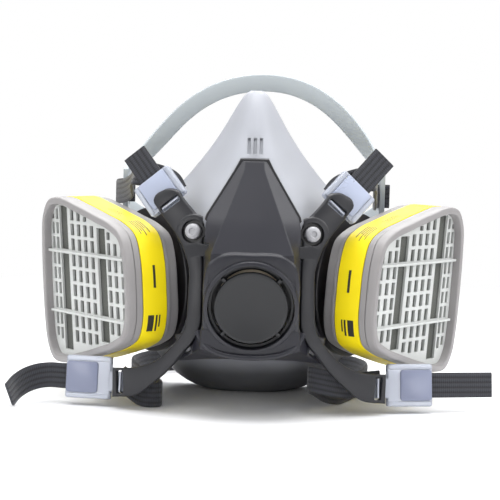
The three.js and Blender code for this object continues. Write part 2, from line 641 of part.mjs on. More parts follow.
// Open-fronted shell; `turn` is the angle from the port's lugs to the entry notches.
function cartridgeBody(turn) {
  const shell = solid(cartLoft([
    [2.4, 0], [0.9, 1.2], [0.9, 4.0], [SHELL_INSET, 5.0],
    [SHELL_INSET, BAND_INNER - 0.02], [GROOVE_INSET, BAND_INNER],
    [GROOVE_INSET, BAND_OUTER], [SHELL_INSET, BAND_OUTER + 0.02], [SHELL_INSET, CART_DEPTH - 4.6]
  ]));
  const notches = boxFan([15, 20.8, -2.9, 2.9, -1, 3.0], 3, THIRD_TURN, LUG_ANGLE + turn);
  return toGeometry(cut(shell,
    cartLoft([[LINING_INSET, 7.2], [LINING_INSET, CART_DEPTH + 1]]),
    portAt(cylinder(21.4, 4.9, 32), 1.3),
    portAt(cylinder(18.2, 20, 32), -6),
    ...notches.map((notch) => portAt(notch, 0))));
}
// Seen from outside, the notches sit 12 degrees clockwise of the lugs on both sides,
// so both cartridges unlock anticlockwise.
const NOTCH_TURN = Math.PI / 15;
add('right_cartridge_body', cartridgeBody(NOTCH_TURN), 'grey');
add('left_cartridge_body', mirrorX(cartridgeBody(-NOTCH_TURN)), 'grey');

const labelInset = SHELL_INSET + BAND_THICK;
const label = cut(solid(cartLoft([[0, BAND_INNER + GAP], [0, BAND_OUTER - GAP]])),
  cartLoft([[labelInset, BAND_INNER - 1], [labelInset, BAND_OUTER + 1]]));
pair('cartridge_label', toGeometry(label), 'yellow');

// Slot columns: middle, half width, top, bottom. The two widest are open channels.
const GRILLE_SLOTS = [
  [-34.0, 1.15, 31, -26], [-29.9, 1.2, 33.6, -29.4], [-23.5, 3.2, 35.2, -31.6],
  [-15, 1.65, 34.0, -30.2], [-8.8, 1.65, 32.6, -29.0], [-2.6, 1.65, 31.0, -27.6],
  [3.7, 1.65, 29.3, -26.4], [12.3, 3.2, 26.6, -24.6], [19.1, 1.5, 25.2, -23.2],
  [24.9, 1.5, 23.4, -21.6], [31.2, 1.5, 19.6, -18.4]
];
const RIB_OFFSET = 14;          // each cross rib's middle, above or below the outline's middle
const RIB_HALF = 1;

// Flat rim on the outer face, recessed grille inside.
function cartridgeGrille() {
  const depth = CART_DEPTH;
  const ribNear = RIB_OFFSET - RIB_HALF;
  const ribFar = RIB_OFFSET + RIB_HALF;
  const slots = GRILLE_SLOTS.flatMap(([middle, half, top, bottom]) =>
    [[bottom, -ribFar], [-ribNear, ribNear], [ribFar, top]].map(([low, high]) =>
      place(box(middle - half, middle + half, low, high, depth - 6, depth), CART_FRAME)));
  return cut(solid(cartLoft([[0, depth - 4.3], [0, depth - 0.9], [0.9, depth]])),
    cartLoft([[3.6, depth - 3.5], [3.3, depth + 1]]), ...slots);
}
pair('cartridge_grille', toGeometry(cartridgeGrille()), 'pale');

// Layers inside the shell: name, inner depth, outer depth, finish.
for (const [name, inner, outer, finish] of [
  ['carbon_bed', 9.6, CART_DEPTH - 7.4, 'carbon'],
  ['retention_pad', CART_DEPTH - 7.0, CART_DEPTH - 5.0, 'felt'],
  ['rear_screen', 7.6, 9.2, 'felt']
]) {
  pair(name, cartLoft([[FILL_INSET, inner], [FILL_INSET, outer]]), finish);
}

// ---------------------------------------------------------------- buckles and strap tails
const BUCKLE_HALF = 9.5;        // half width
const CHANNEL_Z = -4.9;         // middle of the strap channel, from the arm's middle
const TONGUE_HALF = 4.3;
const TAIL_START = 2.4;         // strap tail's start inside the buckle
// Start and length along x from the slot's middle, shift along y, z of the tongue's front face.
const UPPER = { frame: upperFrame, start: 1.6, length: 15.2, shift: -1.6, tongue: -2.5 };
const UPPER_RIGHT = { ...UPPER, frame: upperFrameRight };
const LOWER = { frame: lowerFrame, start: 5.6, length: 20.4, shift: 1.2, tongue: -3.0 };

// Sleeve for the strap with a tongue that hooks forwards through the arm's slot.
function buckle({ frame, start, length, shift, tongue }) {
  const end = start + length;
  const part = (...bounds) => place(box(...bounds), frame);
  const sleeve = cut(
    solid(part(start, end, shift - BUCKLE_HALF, shift + BUCKLE_HALF, -7.4, -2.5)),
    part(start - 1, end + 1, shift - 6.2, shift + 6.2, -6.3, -3.5));
  return toGeometry(join(sleeve,
    part(-0.9, start + 0.5, -TONGUE_HALF, TONGUE_HALF, tongue - 1.0, tongue),
    part(-0.9, 0.9, -TONGUE_HALF, TONGUE_HALF, tongue - 1.0, 1.9)));
}
add('right_upper_buckle', buckle(UPPER_RIGHT), 'clear');
add('left_upper_buckle', mirrorX(buckle(UPPER)), 'clear');
pair('lower_buckle', buckle(LOWER), 'clear');

// `beyond` is the length of tail past the buckle.
function straightTail({ frame, start, length, shift }, beyond) {
  return place(box(start + TAIL_START, start + length + beyond,
    shift - STRAP_W / 2, shift + STRAP_W / 2,
    CHANNEL_Z - STRAP_T / 2, CHANNEL_Z + STRAP_T / 2), frame);
}
add('right_upper_strap_tail', straightTail(UPPER_RIGHT, 17.8), 'web');
add('left_upper_strap_tail', mirrorX(straightTail(UPPER, 14.0)), 'web');
add('right_lower_strap_tail', straightTail(LOWER, 28.0), 'web');

// The left lower tail bends down to the ground: distance past the buckle, drop, way forwards.
const SAG = [[2, 0, 0], [8, 0, 0], [13, 0.6, 1.2], [18, 2.0, 4.6], [22, 4.2, 10], [24.4, 6.8, 17]];

function saggingTail({ frame, start, length, shift }) {
  const end = start + length;
  const sag = smooth(SAG.map(([past, drop, forward]) => [end + past, drop, forward]), 12);
  const stations = [[start + TAIL_START, 0, 0], ...sag];
  const path = stations.map(([distance, drop, forward]) =>
    pointIn(frame, distance, shift, CHANNEL_Z).sub(vec([0, forward, drop])).toArray());
  const ups = stations.map(([distance]) => {
    const bend = Math.min(1, Math.max(0, (distance - end - 8) / 15));
    return [frame.y.x * (1 - bend) + 0.25 * bend, frame.y.y * (1 - bend) - 0.15 * bend, 1];
  });
  return cut(solid(mirrorX(ribbon(path, ups, STRAP_W, STRAP_T))),
    box(-200, 200, -100, 100, -20, 0.05));             // trimmed flat at the ground
}
add('left_lower_strap_tail', toGeometry(saggingTail(LOWER)), 'web');

// ---------------------------------------------------------------- upper straps
// Each runs from behind its buckle back to the tab of the head cradle: the right one passes out
// through the tab's slot, the left one lies outside the tab and passes in.
const STRAP_FRONT = [[51.6, -1.0, 103.4], [54.4, 8, 100.4], [56.0, 20, 96.2]];
const REAR_OUT = [[56.9, 36, 92.0], [57.2, 48, 90.6], [57.6, 55.5, 90.5], [58.9, 60.2, 90.5],
  [61.2, 62.2, 90.5], [65.2, 62.8, 90.5]];
const REAR_IN = [[60.0, 34, 92.6], [63.6, 46, 91.0], [65.0, 52, 90.5], [64.8, 57.0, 90.5],
  [63.5, 60.2, 90.5], [61.2, 62.2, 90.5], [57.2, 62.8, 90.5]];

function upperStrap({ frame, start }, rear) {
  const path = smooth([
    pointIn(frame, start + 4.5, 2.8, -10.4).toArray(),
    pointIn(frame, start + 11.0, 2.8, -11.2).toArray(),
    ...STRAP_FRONT, ...rear
  ], 26);
  // The width turns from across the buckle to upright.
  const across = frame.y.clone().multiplyScalar(frame.y.z > 0 ? 1 : -1);
  const ups = path.map((_, i) => {
    const turn = Math.min(1, Math.max(0, (i - 2) / 7));
    return across.clone().multiplyScalar(1 - turn).add(vec([0, 0, turn])).toArray();
  });
  return ribbon(path, ups, STRAP_W, STRAP_T);
}
add('right_upper_strap', upperStrap(UPPER_RIGHT, REAR_OUT), 'web');
add('left_upper_strap', mirrorX(upperStrap(UPPER, REAR_IN)), 'web');

// ---------------------------------------------------------------- head cradle
const TAB_X = 61.2;             // middle of the right tab's thickness
const TAB_HALF = 1.2;
const TAB_SLOT_Z = 90.5;
const TAB_SLOT_HALF = 7.4;
// Top band's centre line.
const TOP_BAND = smooth([
  [-TAB_X, 59, 92], [-60.6, 58.6, 97.2], [-57.6, 58, 102.4], [-52.2, 58, 108.4],
  [-44.9, 58, 116.8], [-34.8, 58.4, 127.8], [-24.4, 58.8, 135.7], [-12.6, 59, 141.0],
  [1.8, 59.2, 143.5], [15.5, 59, 142.4], [27.5, 58.8, 138.0], [37.5, 58.4, 131.2],
  [47.6, 58, 120.8], [54.9, 58, 111.0], [59.8, 58, 103.4], [61.2, 58.6, 98.2], [TAB_X, 59, 92]
], 36);
const REAR_BAND = smooth([
  [-TAB_X, 60, 84], [-60.2, 68, 81.6], [-48, 85, 73], [-26, 95, 69], [0, 98.5, 67.6],
  [26, 95, 69], [48, 85, 73], [60.2, 68, 81.6], [TAB_X, 60, 84]
], 26);
// Tab outline: y, z.
const TAB = [[53.6, 83], [55.2, 80.6], [68.6, 79.6], [70.2, 82], [69.4, 101], [67.6, 103],
  [55.4, 103], [53.6, 101]];

function headCradle() {
  // The top band turns edge-on towards its two ends.
  const ups = TOP_BAND.map(([x]) => {
    const reach = Math.min(1, Math.abs(x) / TAB_X);
    const edgeOn = reach ** 6;
    return [(x / 64) * (1 - 0.9 * edgeOn), -1.4 * edgeOn, (1.15 - 0.55 * reach) * (1 - 0.6 * edgeOn)];
  });
  const tabs = [1, -1].map((side) => loft([TAB_X - TAB_HALF, TAB_X + TAB_HALF].map((x) =>
    TAB.map(([y, z]) => [side * x, y, z]))));
  const slots = [1, -1].map((side) => box(side * TAB_X - 3, side * TAB_X + 3, 59.4, 65.2,
    TAB_SLOT_Z - TAB_SLOT_HALF, TAB_SLOT_Z + TAB_SLOT_HALF));
  const bands = join(solid(ribbon(TOP_BAND, ups, CRADLE_W, CRADLE_T)),
    ribbon(REAR_BAND, [0, 0.3, 1], CRADLE_REAR_W, CRADLE_T), ...tabs);
  return cut(bands, ...slots);
}
add('head_cradle', toGeometry(headCradle()), 'cradle');

// ---------------------------------------------------------------- neck strap
// Centre lines from the lower buckle to the clip; the left one is drawn on the right side.
const NECK_REAR = [[55, 40, 5.75], [55.4, 54, 5.8], [48, 68, 6.0], [34, 76.6, 6.3],
  [25, 79.3, 6.4], [17.5, 79.4, 6.4]];
const RIGHT_NECK = smooth([
  [58.4, -8.8, 12.6], [53, -11.4, 12.4], [46, -16.5, 12.4], [39.5, -20.2, 13.2],
  [33, -21.6, 14.6], [27.4, -20.0, 15.4], [26.6, -15.6, 14.6], [30.4, -10.4, 11.6],
  [35.4, -4.4, 7.6], [40.5, 1.6, 5.8], [44.6, 9, 5.75], [50, 23, 5.75], ...NECK_REAR
], 40);
const LEFT_NECK = smooth([
  [58.4, -8.8, 12.6], [53.6, -11.0, 9.2], [48.5, -14.4, 6.2], [44.2, -16.4, 5.75],
  [40.2, -15.0, 5.75], [39.4, -10.6, 5.75], [42.6, -1, 5.75], [46.6, 9, 5.75],
  [50.6, 23, 5.75], ...NECK_REAR
], 38);
add('right_lower_strap', ribbon(RIGHT_NECK, [0, 0, 1], STRAP_W, STRAP_T), 'web');
add('left_lower_strap', mirrorX(ribbon(LEFT_NECK, [0, 0, 1], STRAP_W, STRAP_T)), 'web');

// Clip: a hook on the left strap catches the bar of an eye on the right strap.
const CLIP_END = 19.6;          // outer end of either half
const CLIP_BODY = [77.6, 81.2, 0.2, 12.6];      // y and z ranges
const CLIP_SOCKET = [78.5, 80.3, 0.6, 12.2];    // y and z ranges of the strap's socket
const HOOK_Z = [3.4, 9.4];

const neckEye = cut(solid(box(1.0, CLIP_END, ...CLIP_BODY)),
  box(16.0, 30, ...CLIP_SOCKET),
  box(3.4, 11.0, 70, 90, 2.4, 10.4));
add('neck_eye', toGeometry(neckEye), 'clear');

const hookBody = cut(solid(box(-CLIP_END, -4.2, ...CLIP_BODY)), box(-30, -16.0, ...CLIP_SOCKET));
const neckHook = join(hookBody,
  box(-4.6, 5.6, 74.2, 76.0, ...HOOK_Z),
  box(-7.0, -4.2, 74.2, 79.6, ...HOOK_Z),
  box(4.4, 5.6, 75.6, 80.2, ...HOOK_Z));
add('neck_hook', toGeometry(neckHook), 'clear');

export default root;
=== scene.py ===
"""Half-mask respirator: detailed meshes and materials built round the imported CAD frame.

The mask stands on the floor z = 0 and faces -Y, with the wearer's side at +Y. "Right" pieces
lie at +X and "left" ones at -X.
"""
import math
from collections import namedtuple

import bpy
import numpy as np
from mathutils import Matrix


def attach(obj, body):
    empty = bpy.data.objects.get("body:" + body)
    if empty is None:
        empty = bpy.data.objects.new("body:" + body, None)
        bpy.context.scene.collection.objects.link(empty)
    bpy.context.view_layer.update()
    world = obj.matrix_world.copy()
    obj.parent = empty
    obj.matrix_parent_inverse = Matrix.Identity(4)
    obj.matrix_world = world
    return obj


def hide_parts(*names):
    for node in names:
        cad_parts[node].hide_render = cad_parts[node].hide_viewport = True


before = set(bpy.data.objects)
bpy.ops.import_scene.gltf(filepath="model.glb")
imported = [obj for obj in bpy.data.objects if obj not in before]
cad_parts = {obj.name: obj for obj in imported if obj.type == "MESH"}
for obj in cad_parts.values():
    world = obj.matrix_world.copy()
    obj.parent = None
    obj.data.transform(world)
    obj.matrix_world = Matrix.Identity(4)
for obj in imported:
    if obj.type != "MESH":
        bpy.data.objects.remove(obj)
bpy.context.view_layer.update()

SCENE = bpy.context.scene
CHIN_PAD_Y = 36.0
PLACE = Matrix.Scale(0.001, 4) @ Matrix.Translation((0, -CHIN_PAD_Y, 0))

# A place and three unit axes
Frame = namedtuple("Frame", "origin x y z")


# ------------------------------------------------------------------ vectors and curves
def vec(*values):
    return np.array(values, float)


def unit(vector):
    vector = np.asarray(vector, float)
    return vector / np.linalg.norm(vector)


def clamp01(value):
    return max(0.0, min(1.0, value))


def both_sides(half):
    """Points of one side followed by their mirror images in reverse; x = 0 isn't repeated."""
    return half + [(-p[0], *p[1:]) for p in reversed(half) if p[0] != 0]


def spline(points, count, closed=False):
    """Centripetal Catmull-Rom curve through points, cut into `count` steps."""
    knots = [np.array((*p, 0.0)[:3], float) for p in points]
    spans = len(knots) if closed else len(knots) - 1
    if closed:
        padded = [knots[-1]] + knots + knots[:2]
    else:
        padded = [2 * knots[0] - knots[1]] + knots + [2 * knots[-1] - knots[-2]]
    curve = []
    for i in range(count if closed else count + 1):
        place = spans * i / count
        k = min(int(place), spans - 1)
        w = place - k
        p0, p1, p2, p3 = padded[k:k + 4]
        d0 = np.dot(p1 - p0, p1 - p0) ** 0.25
        d1 = np.dot(p2 - p1, p2 - p1) ** 0.25
        d2 = np.dot(p3 - p2, p3 - p2) ** 0.25
        t1 = ((p1 - p0) / d0 - (p2 - p0) / (d0 + d1) + (p2 - p1) / d1) * d1
        t2 = ((p2 - p1) / d1 - (p3 - p1) / (d1 + d2) + (p3 - p2) / d2) * d1
        curve.append(p1 + t1 * w + (-3 * p1 + 3 * p2 - 2 * t1 - t2) * w * w
                     + (2 * p1 - 2 * p2 + t1 + t2) * w ** 3)
    return np.array(curve)


def monotone_slopes(stations, values):
    """Slopes at the stations for a cubic that never overshoots the values."""
    step = np.diff(stations)[:, None]
    rise = np.diff(values, axis=0) / step
    before, after = rise[:-1], rise[1:]
    w_before = 2 * step[1:] + step[:-1]
    w_after = step[1:] + 2 * step[:-1]
    with np.errstate(divide="ignore", invalid="ignore"):
        mean = (w_before + w_after) / (w_before / before + w_after / after)
    return np.concatenate([rise[:1], np.where(before * after > 0, mean, 0), rise[-1:]])


def tangents(path):
    last = len(path) - 1
    return [unit(path[min(i + 1, last)] - path[max(i - 1, 0)]) for i in range(len(path))]


# ------------------------------------------------------------------ solids: (vertices, faces)
def oriented(verts, faces):
    """The solid with its faces pointing outwards."""
    verts = np.asarray(verts, float)
    volume = 0.0
    for face in faces:
        first = verts[face[0]]
        for k in range(1, len(face) - 1):
            volume += np.dot(first, np.cross(verts[face[k]], verts[face[k + 1]]))
    if volume < 0:
        return verts, [tuple(reversed(face)) for face in faces]
    return verts, [tuple(face) for face in faces]


def loft(rings):
    rings = [np.asarray(ring, float) for ring in rings]
    n = len(rings[0])
    faces = []
    for k in range(len(rings) - 1):
        for i in range(n):
            j = (i + 1) % n
            faces.append((k * n + i, k * n + j, (k + 1) * n + j, (k + 1) * n + i))
    faces.append(tuple(range(n - 1, -1, -1)))
    faces.append(tuple((len(rings) - 1) * n + i for i in range(n)))
    return oriented(np.concatenate(rings), faces)


def box(x0, x1, y0, y1, z0, z1):
    return loft([[(x0, y0, z), (x1, y0, z), (x1, y1, z), (x0, y1, z)] for z in (z0, z1)])


def rounded_box(x0, x1, y0, y1, z0, z1, radius):
    """Box with corners rounded in plan and edges eased top and bottom."""
    corners = ((x1 - radius, y1 - radius, 0), (x0 + radius, y1 - radius, 90),
               (x0 + radius, y0 + radius, 180), (x1 - radius, y0 + radius, 270))

    def plan(inset, z):
        arc_radius = max(radius - inset, 0.02)
        ring = []
        for x, y, start in corners:
            for k in range(6):
                angle = math.radians(start + 90 * k / 5)
                ring.append((x + arc_radius * math.cos(angle), y + arc_radius * math.sin(angle), z))
        return ring
    ease = min(0.35, (z1 - z0) / 3, radius * 0.8)
    return loft([plan(ease, z0), plan(0.3 * ease, z0 + 0.3 * ease), plan(0, z0 + ease),
                 plan(0, z1 - ease), plan(0.3 * ease, z1 - 0.3 * ease), plan(ease, z1)])


def lathe(profile, seg=64):
    """Solid of revolution about Z from (radius, z) points. A profile that ends where it
    starts makes a ring; any other starts and ends on the axis."""
    closed = profile[0] == profile[-1]
    if closed:
        profile = profile[:-1]
    verts, loops = [], []
    for radius, z in profile:
        if radius == 0:
            loops.append([len(verts)] * seg)
            verts.append((0, 0, z))
            continue
        loops.append(list(range(len(verts), len(verts) + seg)))
        for k in range(seg):
            angle = 2 * math.pi * k / seg
            verts.append((radius * math.cos(angle), radius * math.sin(angle), z))
    pairs = list(zip(loops, loops[1:]))
    if closed:
        pairs.append((loops[-1], loops[0]))
    faces = []
    for low, high in pairs:
        for k in range(seg):
            j = (k + 1) % seg
            # on the axis two corners fall together and the quad becomes a triangle
            face = tuple(dict.fromkeys((low[k], low[j], high[j], high[k])))
            if len(face) > 2:
                faces.append(face)
    return oriented(verts, faces)


def cylinder(radius, length, seg=48):
    return lathe([(0, 0), (radius, 0), (radius, length), (0, length)], seg)


def sweep(path, ups, width, thick, section):
    """Section of (across, through) points in -1..1 carried along a path, its width along ups."""
    path = np.asarray(path, float)
    ups = np.broadcast_to(np.asarray(ups, float), path.shape)
    rings = []
    for point, up, tangent in zip(path, ups, tangents(path)):
        across = unit(up - tangent * up.dot(tangent))
        through = np.cross(tangent, across)
        rings.append([point + across * (c * width / 2) + through * (h * thick / 2)
                      for c, h in section])
    return loft(rings)


def two_faced(half):
    """Closed section from the points of its upper face."""
    return half + [(c, -h) for c, h in reversed(half)]


def moved(solid, change):
    verts, faces = solid
    return oriented(change(np.asarray(verts, float)), faces)


def shifted(solid, dx, dy, dz):
    return moved(solid, lambda v: v + vec(dx, dy, dz))


def spun(solid, count, start=0.0, turn=2 * math.pi):
    """Copies of a solid spread evenly about Z over a turn."""
    copies = []
    for k in range(count):
        angle = start + turn * k / count
        c, s = math.cos(angle), math.sin(angle)
        copies.append(moved(solid, lambda v: np.stack(
            [v[:, 0] * c - v[:, 1] * s, v[:, 0] * s + v[:, 1] * c, v[:, 2]], 1)))
    return copies


def same(solid):
    return solid


def mirrored(solid):
    return moved(solid, lambda v: v * vec(-1, 1, 1))


def axes(origin, x, z):
    return Frame(origin, x, np.cross(z, x), z)


def placed(solid, frame):
    return moved(solid, lambda v: (frame.origin + v[:, 0:1] * frame.x + v[:, 1:2] * frame.y
                                   + v[:, 2:3] * frame.z))


def along(solid, start, direction):
    """The solid with its Z axis laid along a direction from a start point."""
    direction = unit(direction)
    x = unit(np.cross(vec(1, 0, 0), direction))
    return placed(solid, axes(np.asarray(start, float), x, direction))


def joined(solids):
    verts, faces, offset = [], [], 0
    for part_verts, part_faces in solids:
        verts.append(np.asarray(part_verts, float))
        faces += [tuple(i + offset for i in face) for face in part_faces]
        offset += len(part_verts)
    return np.concatenate(verts), faces


# ------------------------------------------------------------------ objects
def new_object(solid, name="piece"):
    mesh = bpy.data.meshes.new(name)
    mesh.from_pydata([tuple(p) for p in solid[0]], [], solid[1])
    mesh.update()
    ob = bpy.data.objects.new(name, mesh)
    SCENE.collection.objects.link(ob)
    return ob


def evaluated_mesh(ob):
    return bpy.data.meshes.new_from_object(
        ob.evaluated_get(bpy.context.evaluated_depsgraph_get()))


def boolean(ob, solid, operation):
    other = new_object(solid, "cutter")
    modifier = ob.modifiers.new("boolean", "BOOLEAN")
    modifier.operation = operation
    modifier.object = other
    modifier.solver = "MANIFOLD"
    mesh = evaluated_mesh(ob)
    if len(mesh.polygons) == 0:
        # the manifold solver gives nothing when a solid isn't watertight
        modifier.solver = "EXACT"
        mesh = evaluated_mesh(ob)
    ob.modifiers.clear()
    ob.data = mesh
    bpy.data.objects.remove(other)


def cut(ob, *solids):
    for solid in solids:
        boolean(ob, solid, "DIFFERENCE")


def fuse(ob, *solids):
    for solid in solids:
        boolean(ob, solid, "UNION")


def as_solid(ob):
    return (np.array([v.co for v in ob.data.vertices], float),
            [tuple(p.vertices) for p in ob.data.polygons])


def take(ob):
    """The object's solid; the object itself is removed."""
    solid = as_solid(ob)
    bpy.data.objects.remove(ob)
    return solid


def carved(solid, *cutters):
    ob = new_object(solid)
    cut(ob, *cutters)
    return take(ob)


def finish(ob, name, body, node, material, angle=30):
    """Name, place and shade a piece and tell the frame which body it rides and replaces."""
    ob.name = name
    ob.data.name = name
    ob.data.transform(PLACE)
    ob.data.shade_smooth()
    ob.data.set_sharp_from_angle(angle=math.radians(angle))
    ob.data.materials.clear()
    ob.data.materials.append(material)
    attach(ob, body)
    if node:
        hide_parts(node)


def piece(solid, name, body, node, material, angle=30):
    finish(new_object(solid), name, body, node, material, angle)


def pair(solid, name, body, node, material, angle=30):
    """The same solid on the right and, mirrored, on the left; * in body is the side."""
    for side, flip in (("right", same), ("left", mirrored)):
        piece(flip(solid), f"{side}_{name}", body.replace("*", side),
              node and f"{side}_{node}", material, angle)


# ------------------------------------------------------------------ materials
class Nodes:
    """Builds the node tree of a material or world."""

    def __init__(self, owner):
        owner.use_nodes = True
        self.tree = owner.node_tree
        self.tree.nodes.clear()

    def add(self, kind, inputs=(), out=0, **settings):
        """Add a node, set or link its inputs and return one of its outputs."""
        node = self.tree.nodes.new("ShaderNode" + kind)
        for key, value in settings.items():
            setattr(node, key, value)
        for key, value in dict(inputs).items():
            if isinstance(value, bpy.types.NodeSocket):
                self.tree.links.new(value, node.inputs[key])
            else:
                node.inputs[key].default_value = value
        return node.outputs[out] if node.outputs else None

    def math(self, operation, *inputs):
        return self.add("Math", dict(enumerate(inputs)), operation=operation)

    def remap(self, value, source=(0.0, 1.0), target=(0.0, 1.0), **settings):
        return self.add("MapRange", {
            "Value": value, "From Min": source[0], "From Max": source[1],
            "To Min": target[0], "To Max": target[1]}, **settings)

    def scale(self, colour, factor):
        return self.add("VectorMath", {0: colour, "Scale": factor}, operation="SCALE")

    def mix(self, factor, first, second, **settings):
        return self.add("Mix", {"Factor": factor, "A": first, "B": second}, "Result",
                        data_type="RGBA", **settings)

    def split(self, vector):
        return self.add("SeparateXYZ", {0: vector}).node.outputs


def linear(rgb):
    """Linear RGBA of an 8-bit sRGB colour."""
    out = []
    for value in rgb:
        value = value / 255.0
        out.append(value / 12.92 if value <= 0.04045 else ((value + 0.055) / 1.055) ** 2.4)
    return tuple(out) + (1.0,)


def underside_shade(nodes, colour, position, z_dark, z_full, darkest):
    """Painted shade: darken the colour towards the underside, where the mask shades itself near the
    floor.
    """
    height = nodes.split(position)["Z"]
    return nodes.scale(colour, nodes.remap(height, (z_dark, z_full), (darkest, 1.0)))


def ridge_shade(nodes, colour, position, half_width, z_low, z_peak, z_high, depth):
    """Painted shade: darken a strip along the ridge of the nose, fading sideways, up and down."""
    place = nodes.split(position)
    smoothstep = dict(interpolation_type="SMOOTHSTEP")
    side = nodes.remap(nodes.math("ABSOLUTE", place["X"]), (0.0, half_width), (1.0, 0.0),
                       **smoothstep)
    below = nodes.remap(place["Z"], (z_low, z_peak), **smoothstep)
    above = nodes.remap(place["Z"], (z_peak, z_high), (1.0, 0.0), **smoothstep)
    strip = nodes.math("MULTIPLY", nodes.math("MULTIPLY", side, below), above)
    return nodes.scale(colour, nodes.math("MULTIPLY_ADD", strip, -depth, 1.0))


def surface(name, rgb, rough, grain=0.12, grain_size=0.00035, vary=0.06, edge=0.0005,
            transmission=0.0, sheen=0.0, spec=0.5, speckle=0.0, underside=None, ridge=None):
    """Moulded or soft surface: fine grain in the relief, slow drift in tone and polish, and
    edges softened over the radius `edge`; `underside` and `ridge` add painted shade to the
    colour. Lengths are in metres."""
    material = bpy.data.materials.new(name)
    nodes = Nodes(material)
    position = nodes.add("TexCoord", out="Object")
    slow = nodes.add("TexNoise", {"Vector": position, "Scale": 45.0, "Detail": 4.0})
    fine = nodes.add("TexNoise", {"Vector": position, "Scale": 1.0 / grain_size, "Detail": 2.0})
    base = linear(rgb)[:3]
    colour = nodes.mix(slow, tuple(c * (1 - vary) for c in base) + (1,),
                       tuple(min(1, c * (1 + vary)) for c in base) + (1,))
    if speckle:
        colour = nodes.mix(speckle, colour, fine, blend_type="MULTIPLY")
    if underside:
        colour = underside_shade(nodes, colour, position, **underside)
    if ridge:
        colour = ridge_shade(nodes, colour, position, **ridge)
    roughness = nodes.remap(slow, target=(max(rough - 0.06, 0.02), min(rough + 0.07, 1)))
    relief = {"Strength": grain, "Distance": 0.0002, "Height": fine}
    if edge:
        relief["Normal"] = nodes.add("Bevel", {"Radius": edge}, samples=4)
    shader = nodes.add("BsdfPrincipled", {
        "Base Color": colour, "Roughness": roughness, "Normal": nodes.add("Bump", relief),
        "Transmission Weight": transmission, "Sheen Weight": sheen,
        "Specular IOR Level": spec})
    nodes.add("OutputMaterial", {0: shader})
    return material


def webbing(name, dark, light, ribs, pitch):
    """Woven elastic: `ribs` lengthwise ribs and crosswise picks every `pitch` mm, from the
    strap's own length and width coordinates."""
    material = bpy.data.materials.new(name)
    nodes = Nodes(material)
    strap_place = nodes.split(nodes.add("UVMap", uv_map="strap"))

    def wave(source, frequency):
        return nodes.math("ABSOLUTE", nodes.math("SINE", nodes.math(
            "MULTIPLY", source, frequency)))
    across = wave(strap_place["Y"], math.pi * ribs)
    picks = wave(strap_place["X"], math.pi / pitch)
    weave = nodes.math("MULTIPLY_ADD", picks, 0.35, across)
    fuzz = nodes.add("TexNoise", {"Scale": 2600.0, "Vector": nodes.add("TexCoord", out="Object")})
    height = nodes.math("MULTIPLY_ADD", fuzz, 0.5, weave)
    colour = nodes.mix(nodes.remap(height, (0.3, 1.7)), linear(dark), linear(light))
    relief = nodes.add("Bump", {"Strength": 0.7, "Distance": 0.00035, "Height": height})
    shader = nodes.add("BsdfPrincipled", {"Base Color": colour, "Roughness": 0.85,
                                          "Sheen Weight": 0.25, "Normal": relief})
    nodes.add("OutputMaterial", {0: shader})
    return material


# Painted shade in the elastomer's colour: darker towards the chin near the floor, and in a strip
# down the nose ridge.
ELASTOMER = surface(
    "tpe_grey", (163, 165, 172), rough=0.5, grain=0.10, grain_size=0.0005, vary=0.03,
    edge=0.0009, spec=0.4, underside=dict(z_dark=0.014, z_full=0.040, darkest=0.22),
    ridge=dict(half_width=0.0052, z_low=0.104, z_peak=0.117, z_high=0.126, depth=0.30))
COVER = surface("cover_plastic", (30, 30, 38), rough=0.35, edge=0.0008, vary=0.05)
CAP = surface("cap_plastic", (25, 26, 29), rough=0.44, grain=0.16, edge=0.0006, vary=0.05)
YOKE = surface("yoke_plastic", (27, 27, 32), rough=0.40, grain=0.25, grain_size=0.0006,
               edge=0.0007)
PORT = surface("port_plastic", (32, 31, 34), rough=0.4)
CARTRIDGE = surface("cartridge_plastic", (146, 143, 143), rough=0.44, grain=0.14, edge=0.0006,
                    vary=0.04)
GRILLE = surface("grille_plastic", (198, 200, 198), rough=0.45, grain=0.10, edge=0.0004,
                 vary=0.03)
LABEL = surface("label_paper", (246, 222, 8), rough=0.42, grain=0.05, edge=0.0002, vary=0.03,
                spec=0.35)
INK = surface("label_ink", (40, 38, 30), rough=0.5, grain=0.05, edge=0, vary=0.05)
CRADLE = surface("cradle_plastic", (186, 193, 197), rough=0.4, grain=0.08, edge=0.0006,
                 vary=0.03)
BUCKLE = surface("buckle_plastic", (208, 213, 226), rough=0.20, grain=0.06, edge=0.0004,
                 vary=0.03, transmission=0.42)
# One plate plastic in two tones: a lighter copy for the upper buckles and a darker copy for the
# lower buckles near the floor, as painted light and painted shade.
LIT_UPPER_PLATE = surface("buckle_plate", (186, 194, 216), rough=0.26, grain=0.06, vary=0.05,
                      transmission=0.2)
SHADED_LOWER_PLATE = surface("buckle_plate_shaded", (138, 144, 168), rough=0.26, grain=0.06,
                      transmission=0.2)
STUD_PLASTIC = surface("stud_plastic", (166, 166, 170), rough=0.36, grain=0.08, edge=0.0004,
                       vary=0.03)
SILICONE = surface("valve_silicone", (214, 200, 178), rough=0.35, grain=0.05, edge=0.0003,
                   transmission=0.1)
FELT = surface("filter_felt", (205, 203, 196), rough=0.95, grain=0.9, grain_size=0.0005,
               vary=0.08, edge=0, sheen=0.3, speckle=0.3)
PAD = surface("filter_pad", (84, 86, 80), rough=0.95, grain=0.9, grain_size=0.0006, vary=0.12,
              edge=0, sheen=0.2, speckle=0.4)
CARBON = surface("charcoal", (30, 30, 32), rough=0.9, grain=1.0, grain_size=0.0011, vary=0.3,
                 edge=0, speckle=0.5)
WEB = webbing("strap_webbing", dark=(17, 17, 19), light=(54, 55, 62), ribs=5, pitch=0.9)

# ------------------------------------------------------------------ shared dimensions
GAP = 0.3            # clearance between fitted parts
WALL = 2.6           # facepiece wall
SEAL_LIP = 6.5       # width of the face seal beside the mouth opening

